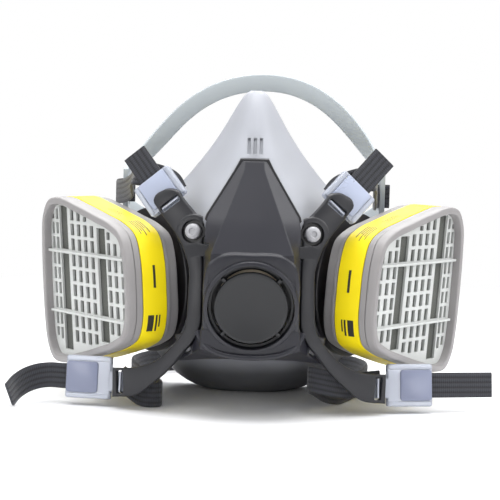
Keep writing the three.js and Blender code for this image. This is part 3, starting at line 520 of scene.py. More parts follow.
CART_YAW = math.radians(33)
CART_TWIST = math.radians(6)
CART_CENTRE = vec(76.3, 3.6, 51.2)  # centre of the outer face
CART_DEPTH = 26.5
CART_WALL = 1.6
RIM_DEPTH = 7.6
BAND_DEPTH = 12.4
BAND_THICK = 0.45

PORT_T = 7           # port centre from the cartridge centre, towards its front edge
PORT_W = 1.5         # and upwards
FLANGE_R = 33
SLEEVE_R = 19.6
BORE_R = 15.5
LUG_ANGLE = 0.35     # turn of the first of the three port lugs, radians

VALVE_CENTRE = vec(0, -46, 50)
VALVE_TILT = math.radians(9)
CAP_R = 15.9
SLOT_R = 18.75       # hole in the cover round the cap
COLLAR_R = 20.6

STUD = vec(26.1, -27.6, 80.6)
STUD_AXIS = unit((0.22, -0.96, 0.12))
STUD_OUTER_DEPTH = 7.3447    # depths behind STUD from which the stem is set out
STUD_INNER_DEPTH = 10.7412
ARM_THICK = 3.0
STRAP_W = 11.2
STRAP_T = 1.4

# cartridge axes: x towards the front edge, y up, z outwards from the back
CART_OUT = vec(math.cos(CART_YAW), -math.sin(CART_YAW), 0)
LEVEL = vec(-math.sin(CART_YAW), -math.cos(CART_YAW), 0)
CART = Frame(CART_CENTRE - CART_OUT * CART_DEPTH,
             LEVEL * math.cos(CART_TWIST) + vec(0, 0, math.sin(CART_TWIST)),
             vec(0, 0, math.cos(CART_TWIST)) - LEVEL * math.sin(CART_TWIST), CART_OUT)
# exhalation valve axes: y up, z forwards and a little down
VALVE = Frame(VALVE_CENTRE, vec(1, 0, 0), vec(0, -math.sin(VALVE_TILT), math.cos(VALVE_TILT)),
              vec(0, -math.cos(VALVE_TILT), -math.sin(VALVE_TILT)))


def to_cart(solid):
    return placed(solid, CART)


def port_at(solid, z=0):
    return to_cart(shifted(solid, PORT_T, PORT_W, z))


def valve_at(solid, z=0):
    return placed(shifted(solid, 0, 0, z), VALVE)


def at_stud(solid, z=0):
    return along(solid, STUD + STUD_AXIS * z, STUD_AXIS)


# ------------------------------------------------------------------ facepiece
# z, then (x, y) of six points from the rear side edge round to the centre of the front
FACE = np.array([
    [0.0, 20, 44, 20, 40, 18.6, 34.5, 13, 30, 7, 28.4, 0, 28],
    [1.6, 27, 45, 26.5, 40, 23, 31.5, 16, 25.5, 9, 22.6, 0, 21.5],
    [5.0, 33.5, 46, 33, 40, 28.5, 28, 20, 19, 11, 15, 0, 13.6],
    [10.0, 39.5, 47, 38.5, 40, 33, 24, 24, 12, 14, 6, 0, 4],
    [16.0, 45.5, 48, 44, 39.5, 37.5, 20, 27, 3, 17, -5, 0, -8],
    [25.0, 51.5, 48, 50, 39.5, 40, 15, 28, -7, 18, -18, 0, -22],
    [33.0, 55, 47.5, 53.5, 38.5, 41.5, 13.5, 29, -9, 21, -25, 0, -31],
    [45.0, 57, 46, 55.5, 37, 42, 13, 29, -9.5, 22.5, -26.5, 0, -33],
    [58.0, 57, 44, 55.3, 35.5, 42, 13, 29, -9.5, 22.8, -27, 0, -33],
    [70.0, 55.5, 42, 53.8, 34, 41.5, 12.5, 29, -9.5, 22.8, -26.5, 0, -32],
    [78.0, 52, 40, 50.5, 33, 40, 11, 30, -9, 22.6, -24, 0, -30.5],
    [84.0, 47.8, 37.5, 46.3, 31, 38, 10.5, 29, -7.5, 21.5, -21.5, 0, -28],
    [90.0, 41.8, 34, 40.4, 28, 33.5, 8.5, 26, -7.5, 18.5, -19.5, 0, -25.5],
    [98.0, 33.2, 30.5, 32, 25.5, 26.5, 7, 20.3, -7, 14, -16.5, 0, -21],
    [106.0, 26.6, 27, 25.5, 22.5, 20.8, 6.5, 15.6, -4.5, 10, -12.2, 0, -15.5],
    [114.0, 20.6, 23.5, 19.6, 19.5, 16, 6.5, 12, -1.5, 7.5, -7.2, 0, -9.8],
    [122.0, 15.4, 20.3, 14.6, 17, 12, 8.2, 9, 2, 5.5, -2.2, 0, -4],
    [130.0, 10.8, 17.8, 10.2, 15.2, 8.4, 9, 6.2, 4.6, 3.6, 2, 0, 1],
    [136.0, 7.3, 16.4, 6.9, 14.8, 5.7, 10.8, 4.2, 7.6, 2.4, 5.9, 0, 5.2],
    [139.6, 4.6, 15.6, 4.3, 14.6, 3.6, 12.4, 2.6, 10.6, 1.5, 9.6, 0, 9.2],
    [141.0, 2.4, 14.8, 2.3, 14.3, 1.9, 13.3, 1.4, 12.6, 0.8, 12.1, 0, 11.9],
])
FACE_Z, FACE_XY = FACE[:, 0], FACE[:, 1:]
FACE_SLOPES = monotone_slopes(FACE_Z, FACE_XY)


def face_half(z):
    """The six (x, y) points of the right half outline at a height."""
    i = np.clip(np.searchsorted(FACE_Z, z, side="right") - 1, 0, len(FACE_Z) - 2)
    step = FACE_Z[i + 1] - FACE_Z[i]
    t = (z - FACE_Z[i]) / step
    row = (FACE_XY[i] * (2 * t ** 3 - 3 * t ** 2 + 1)
           + FACE_SLOPES[i] * step * (t ** 3 - 2 * t ** 2 + t)
           + FACE_XY[i + 1] * (-2 * t ** 3 + 3 * t ** 2)
           + FACE_SLOPES[i + 1] * step * (t ** 3 - t ** 2))
    return row.reshape(6, 2)


def face_ring(z, half, inset=0.0):
    """Full outline from a half; only the outer one has points across the rear."""
    side_x, rear_y = half[0]
    front_y = half[-1][1]
    right = spline(half, 26)[:, :2]
    right[-1, 0] = 0
    if inset:
        inset *= 1.15
        right = np.stack([
            right[:, 0] * (side_x - inset) / side_x,
            right[:, 1] + inset * (rear_y - right[:, 1]) / (rear_y - front_y)], 1)
    ring = np.concatenate([right, right[:-1][::-1] * vec(-1, 1)])
    if not inset:
        rear = [(-side_x * (1 - 2 * k / 12), rear_y) for k in range(1, 12)]
        ring = np.concatenate([ring, rear])
    return np.column_stack([ring, np.full(len(ring), z)])


def cavity_ring(z):
    half = face_half(z)
    half[:2, 1] -= 2.4
    return face_ring(z, half, WALL + 1.4 * clamp01((10 - z) / 5))


def mouth_ring(z):
    """Cross section of the opening at the rear, narrowed to leave the seal lip."""
    side_x, rear_y = face_half(z)[0]
    half_width = max(side_x - SEAL_LIP + 1.5 * clamp01((z - 106) / 8), 2.2)
    return both_sides([(half_width, rear_y - 7, z), (half_width, rear_y + 8, z)])


levels = sorted(set(np.round(np.concatenate([
    [0, 0.5, 1.0, 1.6, 2.4, 3.4], np.linspace(5, 136, 96),
    [137, 138, 139, 139.6, 140.2, 140.7, 141.0]]), 3)))
face_outer = loft([face_ring(z, face_half(z)) for z in levels])
cavity = loft([cavity_ring(z) for z in levels if 5 <= z <= 130])
# wound rear left, front left, front right, rear right reversed: front right first
mouth = loft([mouth_ring(z) for z in levels if 10 <= z <= 130])


def face_grown(factor):
    """The outer skin widened in plan about its middle, to fit other parts over it."""
    middle = vec(0, 30, 60)
    return moved(face_outer, lambda v: (v - middle) * vec(factor, factor, 1) + middle)


def nose_groove(x0, x1, back):
    """Cutter between x0 and x1 that follows the nose ridge, `back` deep; the middle points
    of its outline lie on the centre plane."""
    rings = []
    for k in range(9):
        z = 113.6 + (120.4 - 113.6) * k / 8
        y = face_half(z)[-1][1]
        rings.append([(x, y + 0.02 * x * x - 1.4, z) for x in (x0, 0, x1)]
                     + [(x, y + back, z) for x in (x1, 0, x0)])
    return loft(rings)


face = new_object(face_outer, "facepiece_skin")
cut(face, cavity, mouth)
# a boss round each port sleeve, kept out of the cavity
for flip in (same, mirrored):
    fuse(face, carved(flip(port_at(cylinder(SLEEVE_R + 5.5, 9.6, 72), -16.2)), cavity))
# sleeve bore, flange seat and stud hole on each side
for flip in (same, mirrored):
    cut(face, flip(port_at(cylinder(SLEEVE_R + GAP, 30, 72), -34)),
        flip(port_at(cylinder(FLANGE_R + 0.8, 22, 96), -6.2 - GAP)),
        flip(at_stud(cylinder(2.3, 34, 20), -30)))
cut(face, valve_at(cylinder(15.5, 30, 64), -36))
# three grooves side by side high on the nose
cut(face, joined([nose_groove(-3.3, -2.1, 1.7), nose_groove(-0.6, 0.6, 0.9),
                  nose_groove(2.1, 3.3, 1.7)]))
finish(face, "facepiece_skin", "facepiece", "facepiece", ELASTOMER)

# ------------------------------------------------------------------ harness yoke
# right arm from its upper end to its lower end: outer edge x, y, z, then inner edge x, y, z
ARM = np.array([
    [43.8, -19.8, 91.6, 33.0, -21.8, 97.1], [40.3, -21.8, 87.1, 30.0, -23.8, 93.0],
    [36.7, -23.8, 82.6, 26.2, -25.8, 88.9], [33.3, -26.3, 78.4, 21.9, -28.3, 84.1],
    [30.9, -28.3, 74.3, 21.9, -30.3, 78.3], [29.2, -29.8, 70.0, 21.9, -31.8, 71.0],
    [27.6, -31.8, 64.0, 21.6, -33.8, 64.4], [27.6, -33.3, 56.3, 21.6, -35.3, 56.8],
    [27.9, -34.3, 47.7, 21.6, -36.3, 48.2], [28.5, -34.3, 39.9, 22.2, -36.3, 39.5],
    [31.3, -33.5, 34.4, 25.4, -35.5, 33.1], [34.0, -31.8, 30.8, 29.5, -33.8, 28.3],
    [37.6, -30.0, 26.7, 33.0, -32.0, 23.4], [41.3, -28.2, 23.5, 37.4, -30.2, 18.2],
    [45.8, -25.8, 20.9, 42.4, -27.8, 13.2], [52.3, -22.8, 19.0, 50.0, -24.8, 7.1],
    [60.6, -19.3, 18.2, 60.4, -21.3, 5.4],
]).reshape(-1, 2, 3)
# rounded upper tip: inset from each edge as a share of the width, height past the end
ARM_TIP = ((0.34, 3.6), (0.245, 3.25), (0.16, 2.6), (0.06, 1.5))
TIP_DIRECTION = unit((0.62, 0.30, 0.73))
tip_outer, tip_inner = ARM[0]
arm_pairs = [(tip_outer + (tip_inner - tip_outer) * share + TIP_DIRECTION * height,
              tip_outer + (tip_inner - tip_outer) * (1 - share) + TIP_DIRECTION * height)
             for share, height in ARM_TIP]
arm_pairs += list(zip(spline(ARM[:, 0], 96), spline(ARM[:, 1], 96)))


def arm_solid(thick, push, grow=0.0, ease=0.0):
    """The right arm, pushed back by `push`, widened by `grow`, front edges eased."""
    rings = []
    for outer, inner in arm_pairs:
        across = unit(inner - outer)
        outer, inner = outer - across * grow, inner + across * grow
        back = unit(vec(0, 1, 0) - across * across[1])
        if ease:
            corner = [(0, ease), (ease * 0.3, ease * 0.3), (ease, 0)]
            front = [outer + across * a + back * (push + b) for a, b in corner]
            front += [inner - across * a + back * (push + b) for a, b in reversed(corner)]
        else:
            front = [outer + back * push, inner + back * push]
        rings.append(front + [inner + back * (push + thick), outer + back * (push + thick)])
    return loft(rings)


def facing_front(normal):
    return -normal if normal[1] > 0 else normal


def slot_frames(end, before, share, pull, tilted):
    """Frames at a strap slot, `share` of the way from arm station `before` to `end`: the
    buckle's, x along the pull, and the slot's. A tilted buckle leaves the arm's plane."""
    start, stop = ARM[before].mean(axis=0), ARM[end].mean(axis=0)
    arm_x = unit(stop - start)
    across = ARM[end][1] - ARM[end][0]
    across = unit(across - arm_x * across.dot(arm_x))
    arm_z = facing_front(np.cross(arm_x, across))
    origin = start + (stop - start) * share - arm_z * ARM_THICK / 2
    pull = unit(pull)
    z = facing_front(unit(np.cross(pull, across))) if tilted else arm_z
    x = unit(pull - z * pull.dot(z))
    return axes(origin, x, z), axes(origin, arm_x if tilted else x, arm_z)


def turned(frame, degrees):
    angle = math.radians(degrees)
    return axes(frame.origin, frame.x * math.cos(angle) + frame.y * math.sin(angle), frame.z)


UPPER_LEFT, UPPER_SLOT = slot_frames(0, 1, 0.45, (0.57, 0.347, 0.74), tilted=False)
UPPER_RIGHT = turned(UPPER_LEFT, -4.5)
LOWER, LOWER_SLOT = slot_frames(16, 15, 0.66, (0.985, 0.17, 0), tilted=True)

arm_clear = arm_solid(ARM_THICK + 2.4, -2.0, grow=0.45)
arm = new_object(arm_solid(ARM_THICK, 0, ease=0.7))
stud_pad = at_stud(lathe([(0, 0), (7.6, 0), (7.6, 2.4), (7.3, 2.8), (6.8, 3.0), (0, 3.0)], 56),
                   -3.2)
fuse(arm, carved(stud_pad, box(-60, 21.9, -60, 0, 60, 100)))
cut(arm, placed(rounded_box(-1.7, 1.7, -4.9, 4.9, -6, 6, 1.0), UPPER_SLOT),
    placed(rounded_box(-1.7, 1.7, -5.2, 5.2, -6, 6, 1.0), LOWER_SLOT),
    at_stud(cylinder(5.1, 30, 48), -15))
# grooves across the front of the narrow part: height, depth they reach in y
for z, groove_y in ((63.4, -34.2), (61.2, -34.2), (59.0, -34.9), (56.8, -34.9)):
    cut(arm, box(20, 29, -40, groove_y, z - 0.45, z + 0.45))
# bridge between the arms: x, rear y
BRIDGE = ((-24.6, -28.0), (-18.6, -33.4), (18.6, -33.4), (24.6, -28.0))
bridge = loft([[(x, y, 70.4), (x, y - 2.0, 70.4), (x, y - 2.0, 75.6), (x, y, 75.6)]
               for x, y in BRIDGE])
fuse(arm, mirrored(as_solid(arm)), bridge)
finish(arm, "yoke_arms", "facepiece", "harness_yoke", YOKE, 38)

# Dark ring filling the gap round the stud in the arm's hole: painted shadow.
pair(at_stud(lathe([(3.45, -2.9), (5.05, -2.9), (5.05, -2.0), (3.45, -2.0), (3.45, -2.9)], 40)),
     "stud_hole_shadow", "facepiece", None, PORT, 40)
# stem with a foot inside the facepiece and a dished head
pair(at_stud(lathe([
    (0, -STUD_INNER_DEPTH - 5.8), (3.0, -STUD_INNER_DEPTH - 5.8), (3.0, -STUD_INNER_DEPTH - 4.6),
    (2.0, -STUD_INNER_DEPTH - 4.6), (2.0, -STUD_OUTER_DEPTH + 4.8),
    (3.4, -STUD_OUTER_DEPTH + 4.8), (3.4, 0.5), (3.3, 0.9), (2.9, 1.4), (2.2, 1.75), (1.7, 1.9),
    (1.45, 1.85), (1.2, 1.3), (0, 1.2)], 40)),
    "stud_head", "facepiece", "harness_stud", STUD_PLASTIC, 40)

# ------------------------------------------------------------------ front cover
# z, rear y, half width, y of the side edge, half width of the front flat, its y
COVER_STATIONS = [
    (111.3, -18.8, 5.2, -20.6, 4.2, -22.2), (107.6, -20.6, 7.6, -22.4, 4.4, -24.6),
    (98, -25.2, 13.4, -25.8, 8.1, -30.6), (88, -29.6, 19.6, -30.2, 12.0, -37.2),
    (84, -31.4, 20.6, -31.9, 13.6, -39.8), (73, -33.6, 20.9, -34.3, 17.7, -46.4),
    (60, -36.6, 20.9, -37.2, 18.6, -46.6)]
# valve housing outline in the valve's plane, right half from top to bottom
HOUSING_HALF = [(0, 23.4), (12, 23), (18.2, 19.4), (20.6, 12), (20.8, 0), (20.9, -9),
                (20.6, -16), (17.6, -20.6), (11, -21.8), (0, -21.8)]
# chin skirt below the collar: y, then (x, z) of the right half, front ring first
CHIN = ((-43, ((21, 40), (21.5, 31.5), (11, 28.6))),
        (-34, ((24, 38), (25, 28), (12, 26.2))),
        (-26.6, ((33, 35), (31.5, 23.4), (20, 24.5))))
HEM = spline(both_sides([(-23.0, -39.2, 38.6), (-19.6, -42.4, 33.2), (-13.0, -43.9, 29.8),
                         (0, -44.3, 28.3)]), 60)

housing_outline = spline(both_sides(HOUSING_HALF), 120, closed=True)[:, :2]


def housing_ring(z, shrink=0.0):
    radius = np.linalg.norm(housing_outline, axis=1, keepdims=True)
    ring = housing_outline * (1 - shrink / radius)
    return np.column_stack([ring, np.full(len(ring), z)])


cover = new_object(loft([
    both_sides([(width, rear, z), (width, side, z), (flat, front, z)])
    for z, rear, width, side, flat, front in COVER_STATIONS]))
housing = carved(
    valve_at(loft([housing_ring(-11.0), housing_ring(-3.2), housing_ring(-2.4, 0.25),
                   housing_ring(-1.85, 0.8), housing_ring(-1.6, 1.6)])),
    box(20.9, 40, -60, -20, 20, 90), box(-40, -20.9, -60, -20, 20, 90))
collar = valve_at(lathe([(0, -3.0), (COLLAR_R, -3.0), (COLLAR_R, -0.7),
                         (COLLAR_R - 0.25, -0.25), (COLLAR_R - 0.8, 0), (0, 0)], 120))
chin = loft([both_sides([(x, y, z) for x, z in half]) for y, half in CHIN])
fuse(cover, housing, collar, chin)
cut(cover, face_grown(1.013), arm_clear, mirrored(arm_clear),
    valve_at(cylinder(SLOT_R, 26, 96), -21))
for side in (1, -1):
    cut(cover, along(cylinder(1.9, 40, 28), (side * 27.6, -10, 29.4), (0, -1, 0)))
# room for the yoke bridge
cut(cover, box(-25, 25, -36.3, -20, 69.9, 76.1))

# near-black band round the cover's upper edge: painted shadow in the gap between the cover and the
# skin
shadow_band_rings = []
for k, (z, rear, width, side) in enumerate(
        [row[:4] for row in COVER_STATIONS[:5]] + [(78, -32.5, 20.75, -33.1)]):
    z += 0.9 if k == 0 else 0
    shadow_band_rings.append(both_sides([(width + 1.0, rear + 6, z), (width + 1.0, side + 0.5, z)]))
lip = new_object(loft(shadow_band_rings))
cut(lip, face_grown(1.006), arm_clear, mirrored(arm_clear))
for flip in (vec(1, 1, 1), vec(-1, 1, 1)):
    cut(lip, along(cylinder(7.9, 40, 40), (STUD - STUD_AXIS * 20) * flip, STUD_AXIS * flip))
finish(lip, "cover_shadow_band", "facepiece", None, PORT, 26)

# rounded hem under the collar
hem_section = [(math.cos(k * math.pi / 6), math.sin(k * math.pi / 6)) for k in range(12)]
hem_ups = [np.cross(tangent, vec(0, -1, 0.2)) for tangent in tangents(HEM)]
piece(sweep(HEM, hem_ups, 2.3, 1.8, hem_section), "cover_hem", "facepiece", None, COVER,
      40)
finish(cover, "cover_shell", "facepiece", "front_cover", COVER, 26)

# ------------------------------------------------------------------ cap and exhalation valve
cap = new_object(valve_at(lathe([
    (0, -1.6), (CAP_R, -1.6), (CAP_R, -0.5), (CAP_R - 0.2, -0.15), (CAP_R - 0.6, 0),
    (CAP_R - 1.5, 0), (CAP_R - 1.9, -0.22), (0, -0.22)], 120)))
# outer ring, joined to the disc by four spokes
fuse(cap, valve_at(lathe([
    (SLOT_R - 1.6, -4.6), (SLOT_R - GAP, -4.6), (SLOT_R - GAP, -3.0), (SLOT_R - 1.6, -3.0),
    (SLOT_R - 1.6, -4.6)], 96)))
for spoke in spun(box(CAP_R - 2.0, SLOT_R - 0.9, -0.7, 0.7, -4.4, -0.9), 4, math.pi / 4):
    fuse(cap, valve_at(spoke))
finish(cap, "cap_disc", "facepiece", "exhalation_cap", CAP)

seat = new_object(valve_at(lathe([
    (12.6, -17.8), (15.2, -17.8), (15.2, -11.4), (17.6, -11.4), (17.6, -9.8), (12.6, -9.8),
    (12.6, -17.8)], 72)))
for bar in spun(box(-13, 13, -0.8, 0.8, -11.8, -9.8), 3, turn=math.pi):
    fuse(seat, valve_at(bar))
fuse(seat, valve_at(cylinder(2.6, 2.0, 32), -11.8))
cut(seat, valve_at(cylinder(1.2, 6, 24), -14))
finish(seat, "valve_seat", "facepiece", "exhalation_valve_seat", PORT)
piece(valve_at(lathe([
    (0, -3.6), (0.85, -3.6), (0.85, 0), (13.4, 0), (14.7, -0.1), (14.9, 0.2), (14.9, 0.4),
    (13.4, 0.7), (2.4, 0.8), (1.8, 1.6), (0, 1.7)], 72), -9.3),
    "valve_flap", "exhalation_valve", "exhalation_valve_flap", SILICONE)

# ------------------------------------------------------------------ inhalation ports
port = new_object(port_at(lathe([
    (BORE_R, -19.4), (SLEEVE_R, -19.4), (SLEEVE_R, -6.2), (FLANGE_R, -6.2), (FLANGE_R, -4.4),
    (FLANGE_R - 0.4, -4.0), (24, -4.0), (24, -2.0), (17.6, -2.0), (17.6, 4.0), (BORE_R, 4.0),
    (BORE_R, -19.4)], 96)))
# lugs round the mouth, then three crossed bars with a pierced hub in the bore
for lug in spun(box(16.4, 20.2, -2.3, 2.3, 1.9, 4.0), 3, LUG_ANGLE):
    fuse(port, port_at(lug))
for bar in spun(box(-15.8, 15.8, -0.7, 0.7, -14.6, -12.8), 3, turn=math.pi):
    fuse(port, port_at(bar))
fuse(port, port_at(cylinder(2.4, 1.8, 32), -14.6))
cut(port, port_at(cylinder(1.2, 8, 24), -17))
pair(take(port), "port_ring", "facepiece", "inhalation_port", PORT)
pair(port_at(lathe([(18.1, -1.75), (23.4, -1.75), (23.4, -0.3), (18.1, -0.3), (18.1, -1.75)],
                   72)),
     "gasket_ring", "facepiece", "port_gasket", SILICONE)
pair(port_at(lathe([
    (0, 3.4), (0.85, 3.4), (0.85, 0), (13.6, 0), (14.2, -0.5), (13.4, -0.7), (1.8, -0.9),
    (0, -1.0)], 64), -15.0),
    "valve_disc", "*_inhalation_valve", "inhalation_valve", SILICONE)

# ------------------------------------------------------------------ cartridges
# outline in the cartridge frame: x towards the front edge, y up
CART_POINTS = [
    (-41, 2), (-40.8, 20), (-39.2, 32), (-33.6, 39.4), (-23.6, 40.8), (-6, 37.0), (12, 32.2),
    (27, 27.8), (36.2, 22.4), (40.2, 12), (41.2, -2), (40.6, -14), (36.4, -22.8), (27, -27.2),
    (12, -30.6), (-6, -34.0), (-23, -36.2), (-32.6, -34.8), (-38.2, -27.5), (-40.4, -16)]
OUTLINE = spline(CART_POINTS, 160, closed=True)[:, :2]
outline_run = np.roll(OUTLINE, -1, 0) - np.roll(OUTLINE, 1, 0)
INWARD = (np.stack([outline_run[:, 1], -outline_run[:, 0]], 1)
          / np.linalg.norm(outline_run, axis=1, keepdims=True))
INWARD *= np.where((INWARD * -OUTLINE).sum(1) < 0, -1, 1)[:, None]
BAND_BACK = CART_DEPTH - RIM_DEPTH - BAND_DEPTH
BAND_FRONT = CART_DEPTH - RIM_DEPTH


def outline_ring(inset, z):
    return np.column_stack([OUTLINE + INWARD * inset, np.full(len(OUTLINE), z)])


def cart_stack(*stations):
    """Solid in the cartridge's outline through (inset, z) stations."""
    return to_cart(loft([outline_ring(inset, z) for inset, z in stations]))


def canister(turn):
    """Open shell with a seat for the port and three notches for its lugs."""
    ob = new_object(cart_stack(
        (2.4, 0), (1.5, 0.25), (1.05, 0.8), (0.9, 1.4), (0.9, 4.0), (0.75, 4.5), (0.3, 4.9),
        (0.2, 5.2), (0.2, BAND_BACK - 0.05), (0.95, BAND_BACK), (0.95, BAND_FRONT),
        (0.2, BAND_FRONT + 0.05), (0.2, CART_DEPTH - 4.6)))
    cut(ob, cart_stack((CART_WALL + 0.9, 7.2), (CART_WALL + 0.9, CART_DEPTH + 1)),
        port_at(cylinder(21.4, 4.9, 72), 1.3), port_at(cylinder(18.2, 20, 72), -6))
    for notch in spun(box(15, 20.8, -2.9, 2.9, -1, 3.0), 3, LUG_ANGLE + turn):
        cut(ob, port_at(notch))
    return take(ob)


NOTCH_TURN = math.pi / 15
piece(canister(NOTCH_TURN), "right_canister", "right_cartridge", "right_cartridge_body",
      CARTRIDGE)
piece(mirrored(canister(-NOTCH_TURN)), "left_canister", "left_cartridge",
      "left_cartridge_body", CARTRIDGE)

band_back, band_front = BAND_BACK + GAP, BAND_FRONT - GAP
band = carved(
    cart_stack((0.12, band_back), (0.0, band_back + 0.12), (0.0, band_front - 0.12),
               (0.12, band_front)),
    cart_stack((0.2 + BAND_THICK, BAND_BACK - 1), (0.2 + BAND_THICK, BAND_FRONT + 1)))
pair(band, "band", "*_cartridge", "cartridge_label", LABEL)

# bars printed on the band: start and end along the outline from the front corner (negative
# is above it), then z from the middle of the band
PRINT_BARS = (
    (6, 13.5, 0.6, 3.6), (6, 13.5, -1.2, -0.3), (6, 11.5, -2.6, -1.9), (-16, -6, -0.6, 0.6),
    (-44, -31, 2.6, 3.0), (-44, -33, 1.4, 1.8), (-44, -30, 0.2, 0.6), (-44, -35, -1.0, -0.6),
    (-44, -32, -2.2, -1.8), (-66, -52, 1.6, 2.0), (-66, -55, 0.4, 0.8), (-66, -53, -0.8, -0.4))
edge_lengths = np.linalg.norm(np.roll(OUTLINE, -1, 0) - OUTLINE, axis=1)
outline_arc = np.concatenate([[0], np.cumsum(edge_lengths)])
front_arc = outline_arc[int(np.argmax(OUTLINE[:, 0]))]


def print_bar(start, end, z0, z1):
    steps = max(2, int((end - start) / 0.8))
    outer, under = outline_ring(-0.06, 0), outline_ring(0.1, 0)
    rings = []
    for k in range(steps + 1):
        arc = (front_arc + start + (end - start) * k / steps) % outline_arc[-1]
        i = int(np.searchsorted(outline_arc, arc, side="right") - 1)
        j = (i + 1) % len(OUTLINE)
        w = (arc - outline_arc[i]) / (outline_arc[i + 1] - outline_arc[i])
        top = outer[i] * (1 - w) + outer[j] * w
        low = under[i] * (1 - w) + under[j] * w
        rings.append([(top[0], top[1], z0), (top[0], top[1], z1),
                      (low[0], low[1], z1), (low[0], low[1], z0)])
    return to_cart(loft(rings))


band_middle = (BAND_BACK + BAND_FRONT) / 2
pair(joined([print_bar(start, end, band_middle + z0, band_middle + z1)
             for start, end, z0, z1 in PRINT_BARS]),
     "print_bars", "*_cartridge", None, INK)

rim = carved(
    cart_stack((0, CART_DEPTH - 4.3), (0, CART_DEPTH - 1.6), (0.12, CART_DEPTH - 0.9),
               (0.4, CART_DEPTH - 0.3), (0.8, CART_DEPTH - 0.05), (1.1, CART_DEPTH)),
    cart_stack((3.6, CART_DEPTH - 6), (3.5, CART_DEPTH - 1.0), (3.3, CART_DEPTH - 0.3),
               (2.9, CART_DEPTH + 0.01), (2.9, CART_DEPTH + 1)))
pair(rim, "grille_rim", "*_cartridge", "cartridge_grille", CARTRIDGE)

# slot columns: centre, half width, reach up, reach down, whether free of cross ribs
GRILLE_COLUMNS = (
    (-34.0, 1.15, 31, 26, False), (-29.9, 1.2, 33.6, 29.4, False),
    (-23.5, 3.9, 35.2, 31.6, True), (-15, 1.65, 34.0, 30.2, False),
    (-8.8, 1.65, 32.6, 29.0, False), (-2.6, 1.65, 31.0, 27.6, False),
    (3.7, 1.65, 29.3, 26.4, False), (12.3, 3.9, 26.6, 24.6, True),
    (19.1, 1.5, 25.2, 23.2, False), (24.9, 1.5, 23.4, 21.6, False),
    (31.2, 1.5, 19.6, 18.4, False))
WINDOW_PITCH = 6.88
WINDOW_LENGTH = 5.35
WINDOW_LEAST = 1.6
# cross bars: height, reach towards the front edge
GRILLE_BARS = ((14, 36.0), (-14, 36.3))


def windows(low, high):
    """Openings between the cross ribs of one column."""
    spans = []
    while low + WINDOW_LEAST < high:
        spans.append((low, min(low + WINDOW_LENGTH, high)))
        low += WINDOW_PITCH
    return spans


def lean(solid):
    """Cross ribs rise a little towards the rear edge and columns lean back at the top."""
    return moved(solid, lambda v: np.stack(
        [v[:, 0] - 0.035 * v[:, 1], v[:, 1] - 0.061 * v[:, 0], v[:, 2]], 1))


slots = []
for centre, half, up, down, plain_column in GRILLE_COLUMNS:
    for sign, low, high in ((-1, 15.0, down), (1, 15.0, up), (1, -13.0, 13.0)):
        for ends in [(low, high)] if plain_column else windows(low, high):
            y0, y1 = sorted(sign * y for y in ends)
            slots.append(box(centre - half, centre + half, y0, y1, CART_DEPTH - 6, CART_DEPTH))
grille = new_object(cart_stack((3.2, CART_DEPTH - 4.9), (3.2, CART_DEPTH - 3.7)))
cut(grille, to_cart(lean(joined(slots))))
for y, reach in GRILLE_BARS:
    fuse(grille, to_cart(lean(box(-36.6, reach, y - 0.55, y + 0.55,
                                  CART_DEPTH - 4.6, CART_DEPTH - 1.8))))
pair(take(grille), "grille_face", "*_cartridge", None, GRILLE)

# fillings, by depth
for name, node, z0, z1, filling, slot in (
        ("charcoal", "carbon_bed", 9.6, CART_DEPTH - 7.4, CARBON, "charcoal"),
        ("filter_pad", "retention_pad", CART_DEPTH - 7.0, CART_DEPTH - 5.1, PAD, "filter_felt"),
        ("filter_screen", "rear_screen", 7.6, 9.2, FELT, "filter_felt")):
    pair(cart_stack((CART_WALL + 1.4, z0), (CART_WALL + 1.4, z1)), name, "*_cartridge", node,
         filling)

# ------------------------------------------------------------------ buckles
# start and length along the strap, shift across it, z of the bar's face, and the share of
# the length where the raised plate starts
Buckle = namedtuple("Buckle", "frame start length shift bar_z plate_share")
BUCKLE_HALF_W = 9.5
TAIL_Z = -4.9        # the strap tail's middle plane
LEFT_UPPER = Buckle(UPPER_LEFT, start=1.6, length=15.2, shift=-1.6, bar_z=-2.5,
                    plate_share=0.10)
RIGHT_UPPER = LEFT_UPPER._replace(frame=UPPER_RIGHT)
LOWER_BUCKLE = Buckle(LOWER, start=5.6, length=20.4, shift=1.2, bar_z=-3.0, plate_share=0.28)


def clasp(buckle):
    """Body with a strap channel, side rails that stand proud and a bar through the arm."""
    frame, start, length, shift, bar_z, _ = buckle
    end = start + length
    ob = new_object(placed(rounded_box(start, end, shift - BUCKLE_HALF_W,
                                       shift + BUCKLE_HALF_W, -7.4, -3.1, 1.1), frame))
    rail_in, rail_out = BUCKLE_HALF_W - 2.3, BUCKLE_HALF_W - 0.35
    for y0, y1 in ((shift + rail_in, shift + rail_out), (shift - rail_out, shift - rail_in)):
        fuse(ob, placed(rounded_box(start + 0.3, end - 0.3, y0, y1, -4.5, -2.6, 0.8), frame))
    cut(ob, placed(box(start - 1, end + 1, shift - 6.2, shift + 6.2, -6.3, -3.5), frame))
    for x0, x1, z0, z1 in ((-0.9, start + 0.5, bar_z - 1.0, bar_z),
                           (-0.9, 0.9, bar_z - 1.0, -1.6), (-0.1, 0.6, -1.7, 1.2)):
        fuse(ob, placed(box(x0, x1, -4.3, 4.3, z0, z1), frame))
    return take(ob)


def clasp_plate(buckle):
    start, length, shift = buckle.start, buckle.length, buckle.shift
    return placed(rounded_box(start + length * buckle.plate_share, start + length - 0.3,
                              shift - 6.9, shift + 6.9, -3.45, -2.4, 1.4), buckle.frame)


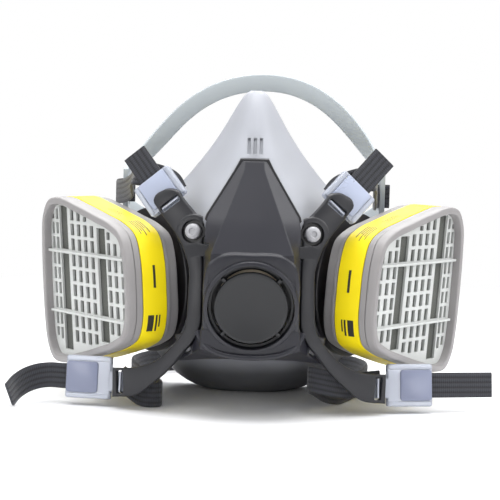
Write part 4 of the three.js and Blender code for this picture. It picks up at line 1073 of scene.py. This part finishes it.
UPPER_SIDES = (("right", RIGHT_UPPER, same), ("left", LEFT_UPPER, mirrored))
for side, buckle, flip in UPPER_SIDES:
    piece(flip(clasp_plate(buckle)), f"{side}_upper_plate", f"{side}_upper_buckle", None,
          LIT_UPPER_PLATE)
pair(clasp_plate(LOWER_BUCKLE), "lower_plate", "*_lower_buckle", None, SHADED_LOWER_PLATE)
for side, buckle, flip in UPPER_SIDES:
    piece(flip(clasp(buckle)), f"{side}_upper_clasp", f"{side}_upper_buckle",
          f"{side}_upper_buckle", BUCKLE)
pair(clasp(LOWER_BUCKLE), "lower_clasp", "*_lower_buckle", "lower_buckle", BUCKLE)

# ------------------------------------------------------------------ webbing
# flat face in 13 points, thinner at both edges
STRAP_SECTION = two_faced([(-1 + 2 * k / 12, 0.55 if k in (0, 12) else 1.0)
                           for k in range(13)])


def strap(path, ups, name, body, node, flip=same, trim=None):
    """Webbing along a path; its 'strap' UV map holds length in mm and place across."""
    path = np.asarray(path, float)
    ob = new_object(flip(sweep(path, ups, STRAP_W, STRAP_T, STRAP_SECTION)))
    steps = np.linalg.norm(np.diff(path, axis=0), axis=1)
    arc = np.concatenate([[0], np.cumsum(steps)])
    uv = ob.data.uv_layers.new(name="strap")
    for i, loop in enumerate(ob.data.loops):
        station, corner = divmod(loop.vertex_index, len(STRAP_SECTION))
        uv.data[i].uv = (arc[station], (STRAP_SECTION[corner][0] + 1) / 2)
    if trim:
        cut(ob, trim)
    finish(ob, name, body, node, WEB, 40)


def tail_origin(buckle):
    frame = buckle.frame
    return frame.origin + frame.z * TAIL_Z + frame.y * buckle.shift


def straight_tail(buckle, spare, end_name, flip=same):
    """Free end reaching `spare` past the buckle."""
    first = buckle.start + 2.4
    run = buckle.start + buckle.length + spare - first
    origin = tail_origin(buckle)
    path = [origin + buckle.frame.x * (first + run * k / 24) for k in range(25)]
    strap(path, buckle.frame.y, f"{end_name}_end", f"{end_name}_tail",
          f"{end_name}_strap_tail", flip)


straight_tail(RIGHT_UPPER, 17.8, "right_upper")
straight_tail(LEFT_UPPER, 14.0, "left_upper", mirrored)
straight_tail(LOWER_BUCKLE, 28.0, "right_lower")

# left lower tail, hanging to the floor: distance past the buckle, drop, way forwards
SAG = [(2, 0, 0), (8, 0, 0), (13, 0.6, 1.2), (18, 2.0, 4.6), (22, 4.2, 10), (24.4, 6.8, 17)]
buckle_end = LOWER_BUCKLE.start + LOWER_BUCKLE.length
sag_curve = spline([(buckle_end + run, drop, forward) for run, drop, forward in SAG], 60)
sag_path, sag_ups = [], []
for run, drop, forward in [(LOWER_BUCKLE.start + 2.4, 0, 0), *sag_curve]:
    sag_path.append(tail_origin(LOWER_BUCKLE) + LOWER.x * run - vec(0, forward, drop))
    k = clamp01((run - buckle_end - 8) / 15)
    sag_ups.append(vec(LOWER.y[0] * (1 - k) + 0.25 * k, LOWER.y[1] * (1 - k) - 0.15 * k, 1))
strap(sag_path, sag_ups, "left_lower_end", "left_lower_tail", "left_lower_strap_tail", mirrored,
      trim=box(-200, 200, -100, 100, -20, 0.05))

# rear runs of the upper straps, to the cradle tabs
RIGHT_REAR = [(56.0, 20, 96.2), (56.9, 36, 92.0), (57.2, 48, 90.6), (57.6, 55.5, 90.5),
              (58.9, 60.2, 90.5), (61.2, 62.2, 90.5), (65.2, 62.8, 90.5)]
LEFT_REAR = [(56.0, 20, 96.2), (60.0, 34, 92.6), (63.6, 46, 91.0), (65.0, 52, 90.5),
             (64.8, 57.0, 90.5), (63.5, 60.2, 90.5), (61.2, 62.2, 90.5), (57.2, 62.8, 90.5)]


def upper_strap(frame, rear, side, flip):
    """From behind the buckle back to the cradle, its width turning upright on the way."""
    start = frame.origin + frame.x * (LEFT_UPPER.start + 4.5) - frame.z * 10.4 + frame.y * 2.8
    leave = frame.origin + frame.x * (LEFT_UPPER.start + 11.0) - frame.z * 11.2 + frame.y * 2.8
    count = 130
    path = spline([start, leave, (51.6, -1.0, 103.4), (54.4, 8, 100.4)] + rear, count)
    sign = 1 if frame.y[2] > 0 else -1
    ups = []
    for i in range(count + 1):
        k = clamp01((i * 26 / count - 2) / 7)
        ups.append(frame.y * sign * (1 - k) + vec(0, 0, k))
    strap(path, ups, f"{side}_head_strap", "upper_harness", f"{side}_upper_strap", flip)


upper_strap(UPPER_RIGHT, RIGHT_REAR, "right", same)
upper_strap(UPPER_LEFT, LEFT_REAR, "left", mirrored)

# lower straps from the buckle, folded back along the floor and round to the neck clip
NECK_REAR = [(55, 40, 5.75), (55.4, 54, 5.8), (48, 68, 6.0), (34, 76.6, 6.3), (25, 79.3, 6.4),
             (17.5, 79.4, 6.4)]
RIGHT_NECK = [(58.4, -8.8, 12.6), (53, -11.4, 12.4), (46, -16.5, 12.4), (39.5, -20.2, 13.2),
              (33, -21.6, 14.6), (27.4, -20.0, 15.4), (26.6, -15.6, 14.6), (30.4, -10.4, 11.6),
              (35.4, -4.4, 7.6), (40.5, 1.6, 5.8), (44.6, 9, 5.75), (50, 23, 5.75)]
LEFT_NECK = [(58.4, -8.8, 12.6), (53.6, -11.0, 9.2), (48.5, -14.4, 6.2), (44.2, -16.4, 5.75),
             (40.2, -15.0, 5.75), (39.4, -10.6, 5.75), (42.6, -1, 5.75), (46.6, 9, 5.75),
             (50.6, 23, 5.75)]
for side, front, count, flip in (("right", RIGHT_NECK, 200, same),
                                 ("left", LEFT_NECK, 190, mirrored)):
    strap(spline(front + NECK_REAR, count), (0, 0, 1), f"{side}_neck_strap", "facepiece",
          f"{side}_lower_strap", flip)

# ------------------------------------------------------------------ head cradle
CRADLE_X = 61.2      # middle plane of the side tabs
CRADLE_T = 2.0
CRADLE_SECTION = two_faced(both_sides([(1, 0.55), (0.93, 0.88), (0.82, 1)]))
CRADLE_ARC = spline([
    (-61.2, 59, 92), (-60.6, 58.6, 97.2), (-57.6, 58, 102.4), (-52.2, 58, 108.4),
    (-44.9, 58, 116.8), (-34.8, 58.4, 127.8), (-24.4, 58.8, 135.7), (-12.6, 59, 141.0),
    (1.8, 59.2, 143.5), (15.5, 59, 142.4), (27.5, 58.8, 138.0), (37.5, 58.4, 131.2),
    (47.6, 58, 120.8), (54.9, 58, 111.0), (59.8, 58, 103.4), (61.2, 58.6, 98.2),
    (61.2, 59, 92)], 150)
CRADLE_REAR = spline(both_sides([(-61.2, 60, 84), (-60.2, 68, 81.6), (-48, 85, 73),
                                 (-26, 95, 69), (0, 98.5, 67.6)]), 110)
# side tab outline, y and z
TAB = ((53.6, 83), (55.2, 80.6), (68.6, 79.6), (70.2, 82), (69.4, 101), (67.6, 103),
       (55.4, 103), (53.6, 101))

cradle_ups = []
for x in CRADLE_ARC[:, 0]:
    k = min(1.0, abs(x) / CRADLE_X)
    cradle_ups.append(vec((x / 64) * (1 - 0.9 * k ** 6), -1.4 * k ** 6,
                          (1.15 - 0.55 * k) * (1 - 0.6 * k ** 6)))
cradle = new_object(sweep(CRADLE_ARC, cradle_ups, 8.2, CRADLE_T, CRADLE_SECTION))
fuse(cradle, sweep(CRADLE_REAR, (0, 0.3, 1), 8.4, CRADLE_T, CRADLE_SECTION))
for side in (1, -1):
    fuse(cradle, loft([[(side * x, y, z) for y, z in TAB]
                       for x in (CRADLE_X - 1.2, CRADLE_X + 1.2)]))
for side in (1, -1):
    cut(cradle, moved(rounded_box(59.4, 65.2, 83.1, 97.9, -3, 3, 1.0), lambda v: np.stack(
        [v[:, 2] + side * CRADLE_X, v[:, 0], v[:, 1]], 1)))
finish(cradle, "cradle_band", "head_cradle", "head_cradle", CRADLE, 34)

# ------------------------------------------------------------------ neck clip
eye = new_object(box(1.0, 19.6, 77.6, 81.2, 0.2, 12.6))
cut(eye, box(16.0, 30, 78.5, 80.3, 0.6, 12.2), box(3.4, 11.0, 70, 90, 2.4, 10.4))
finish(eye, "neck_clip_eye", "facepiece", "neck_eye", BUCKLE)
hook = new_object(box(-19.6, -4.2, 77.6, 81.2, 0.2, 12.6))
cut(hook, box(-30, -16.0, 78.5, 80.3, 0.6, 12.2))
fuse(hook, box(-4.6, 5.6, 74.2, 76.0, 3.4, 9.4), box(-7.0, -4.3, 74.2, 79.6, 3.4, 9.4),
     box(4.4, 5.6, 75.6, 80.2, 3.4, 9.4))
finish(hook, "neck_clip_hook", "neck_hook", "neck_hook", BUCKLE)


# ------------------------------------------------------------------ floor, world, lights, camera
# from here on lengths are in metres
def floor_material():
    """Pale floor that runs out into the white of the studio."""
    material = bpy.data.materials.new("floor")
    nodes = Nodes(material)
    distance = nodes.add("VectorMath", {0: nodes.add("TexCoord", out="Object")}, "Value",
                         operation="LENGTH")
    fade = nodes.remap(distance, (0.13, 0.42), interpolation_type="SMOOTHSTEP")
    pale = nodes.add("BsdfDiffuse", {"Color": (0.80, 0.80, 0.81, 1)})
    white = nodes.add("Emission", {"Color": (1, 1, 1, 1), "Strength": 1.0})
    nodes.add("OutputMaterial", {0: nodes.add("MixShader", {0: fade, 1: pale, 2: white})})
    return material


def build_floor(radius):
    material = floor_material()
    mesh = bpy.data.meshes.new("floor")
    mesh.from_pydata([(radius * math.cos(math.pi * k / 32), radius * math.sin(math.pi * k / 32), 0)
                      for k in range(64)], [], [tuple(range(64))])
    mesh.materials.append(material)
    floor = bpy.data.objects.new("floor", mesh)
    SCENE.collection.objects.link(floor)


def build_world():
    """White to the camera; a soft light that grows towards the zenith to everything else."""
    world = bpy.data.worlds.new("studio")
    SCENE.world = world
    nodes = Nodes(world)
    height = nodes.split(nodes.add("TexCoord", out="Generated"))["Z"]
    strength = nodes.remap(height, (-0.1, 1.0), (0.30, 0.65))
    light = nodes.add("Background", {"Color": (0.96, 0.98, 1.0, 1), "Strength": strength})
    seen = nodes.add("Background", {"Color": (1, 1, 1, 1), "Strength": 1.0})
    is_camera = nodes.add("LightPath", out="Is Camera Ray")
    nodes.add("OutputWorld", {0: nodes.add("MixShader", {0: is_camera, 1: light, 2: seen})})


def area_light(name, place, target, size, energy):
    """White rectangular light at a place, facing a target."""
    data = bpy.data.lights.new(name, "AREA")
    data.shape = "RECTANGLE"
    data.size, data.size_y = size
    data.energy = energy
    data.color = (1, 1, 1)
    light = bpy.data.objects.new(name, data)
    SCENE.collection.objects.link(light)
    z = -unit(vec(*target) - vec(*place))
    x = unit(np.cross((0, 0, 1), z)) if abs(z[2]) < 0.99 else vec(1, 0, 0)
    y = np.cross(z, x)
    light.location = place
    light.matrix_world = Matrix([(x[i], y[i], z[i], place[i]) for i in range(3)]
                                + [(0, 0, 0, 1)])


def build_camera():
    data = bpy.data.cameras.new("camera")
    data.sensor_width = 36.0
    data.lens = 136.0
    data.shift_x = -0.005
    data.clip_start = 0.05
    data.clip_end = 50.0
    camera = bpy.data.objects.new("camera", data)
    SCENE.collection.objects.link(camera)
    pitch = Matrix.Rotation(math.radians(83.5), 4, "X")
    roll = Matrix.Rotation(math.radians(1.5), 4, "Z")
    camera.matrix_world = Matrix.Translation((0, -0.8805, 0.1662)) @ pitch @ roll
    SCENE.camera = camera


build_floor(radius=0.9)
build_world()
MASK = (0, -0.03, 0.07)
for name, place, target, size, energy in (
        ("overhead", (0.0, 0.0, 1.3), (0, -0.02, 0.05), (1.3, 0.8), 21),
        ("side_left", (-1.15, -0.12, 0.85), MASK, (0.9, 0.8), 6.0),
        ("side_right", (1.15, -0.12, 0.85), MASK, (0.9, 0.8), 10.0),
        ("front_left", (-0.85, -1.25, 0.34), MASK, (0.6, 0.5), 4.5),
        ("front_right", (0.85, -1.25, 0.34), MASK, (0.6, 0.5), 3.5),
        ("back_top", (0.0, 0.9, 0.8), (0, 0, 0.1), (1.2, 0.5), 9)):
    area_light(name, place, target, size, energy)
build_camera()
SCENE.view_settings.view_transform = "Standard"
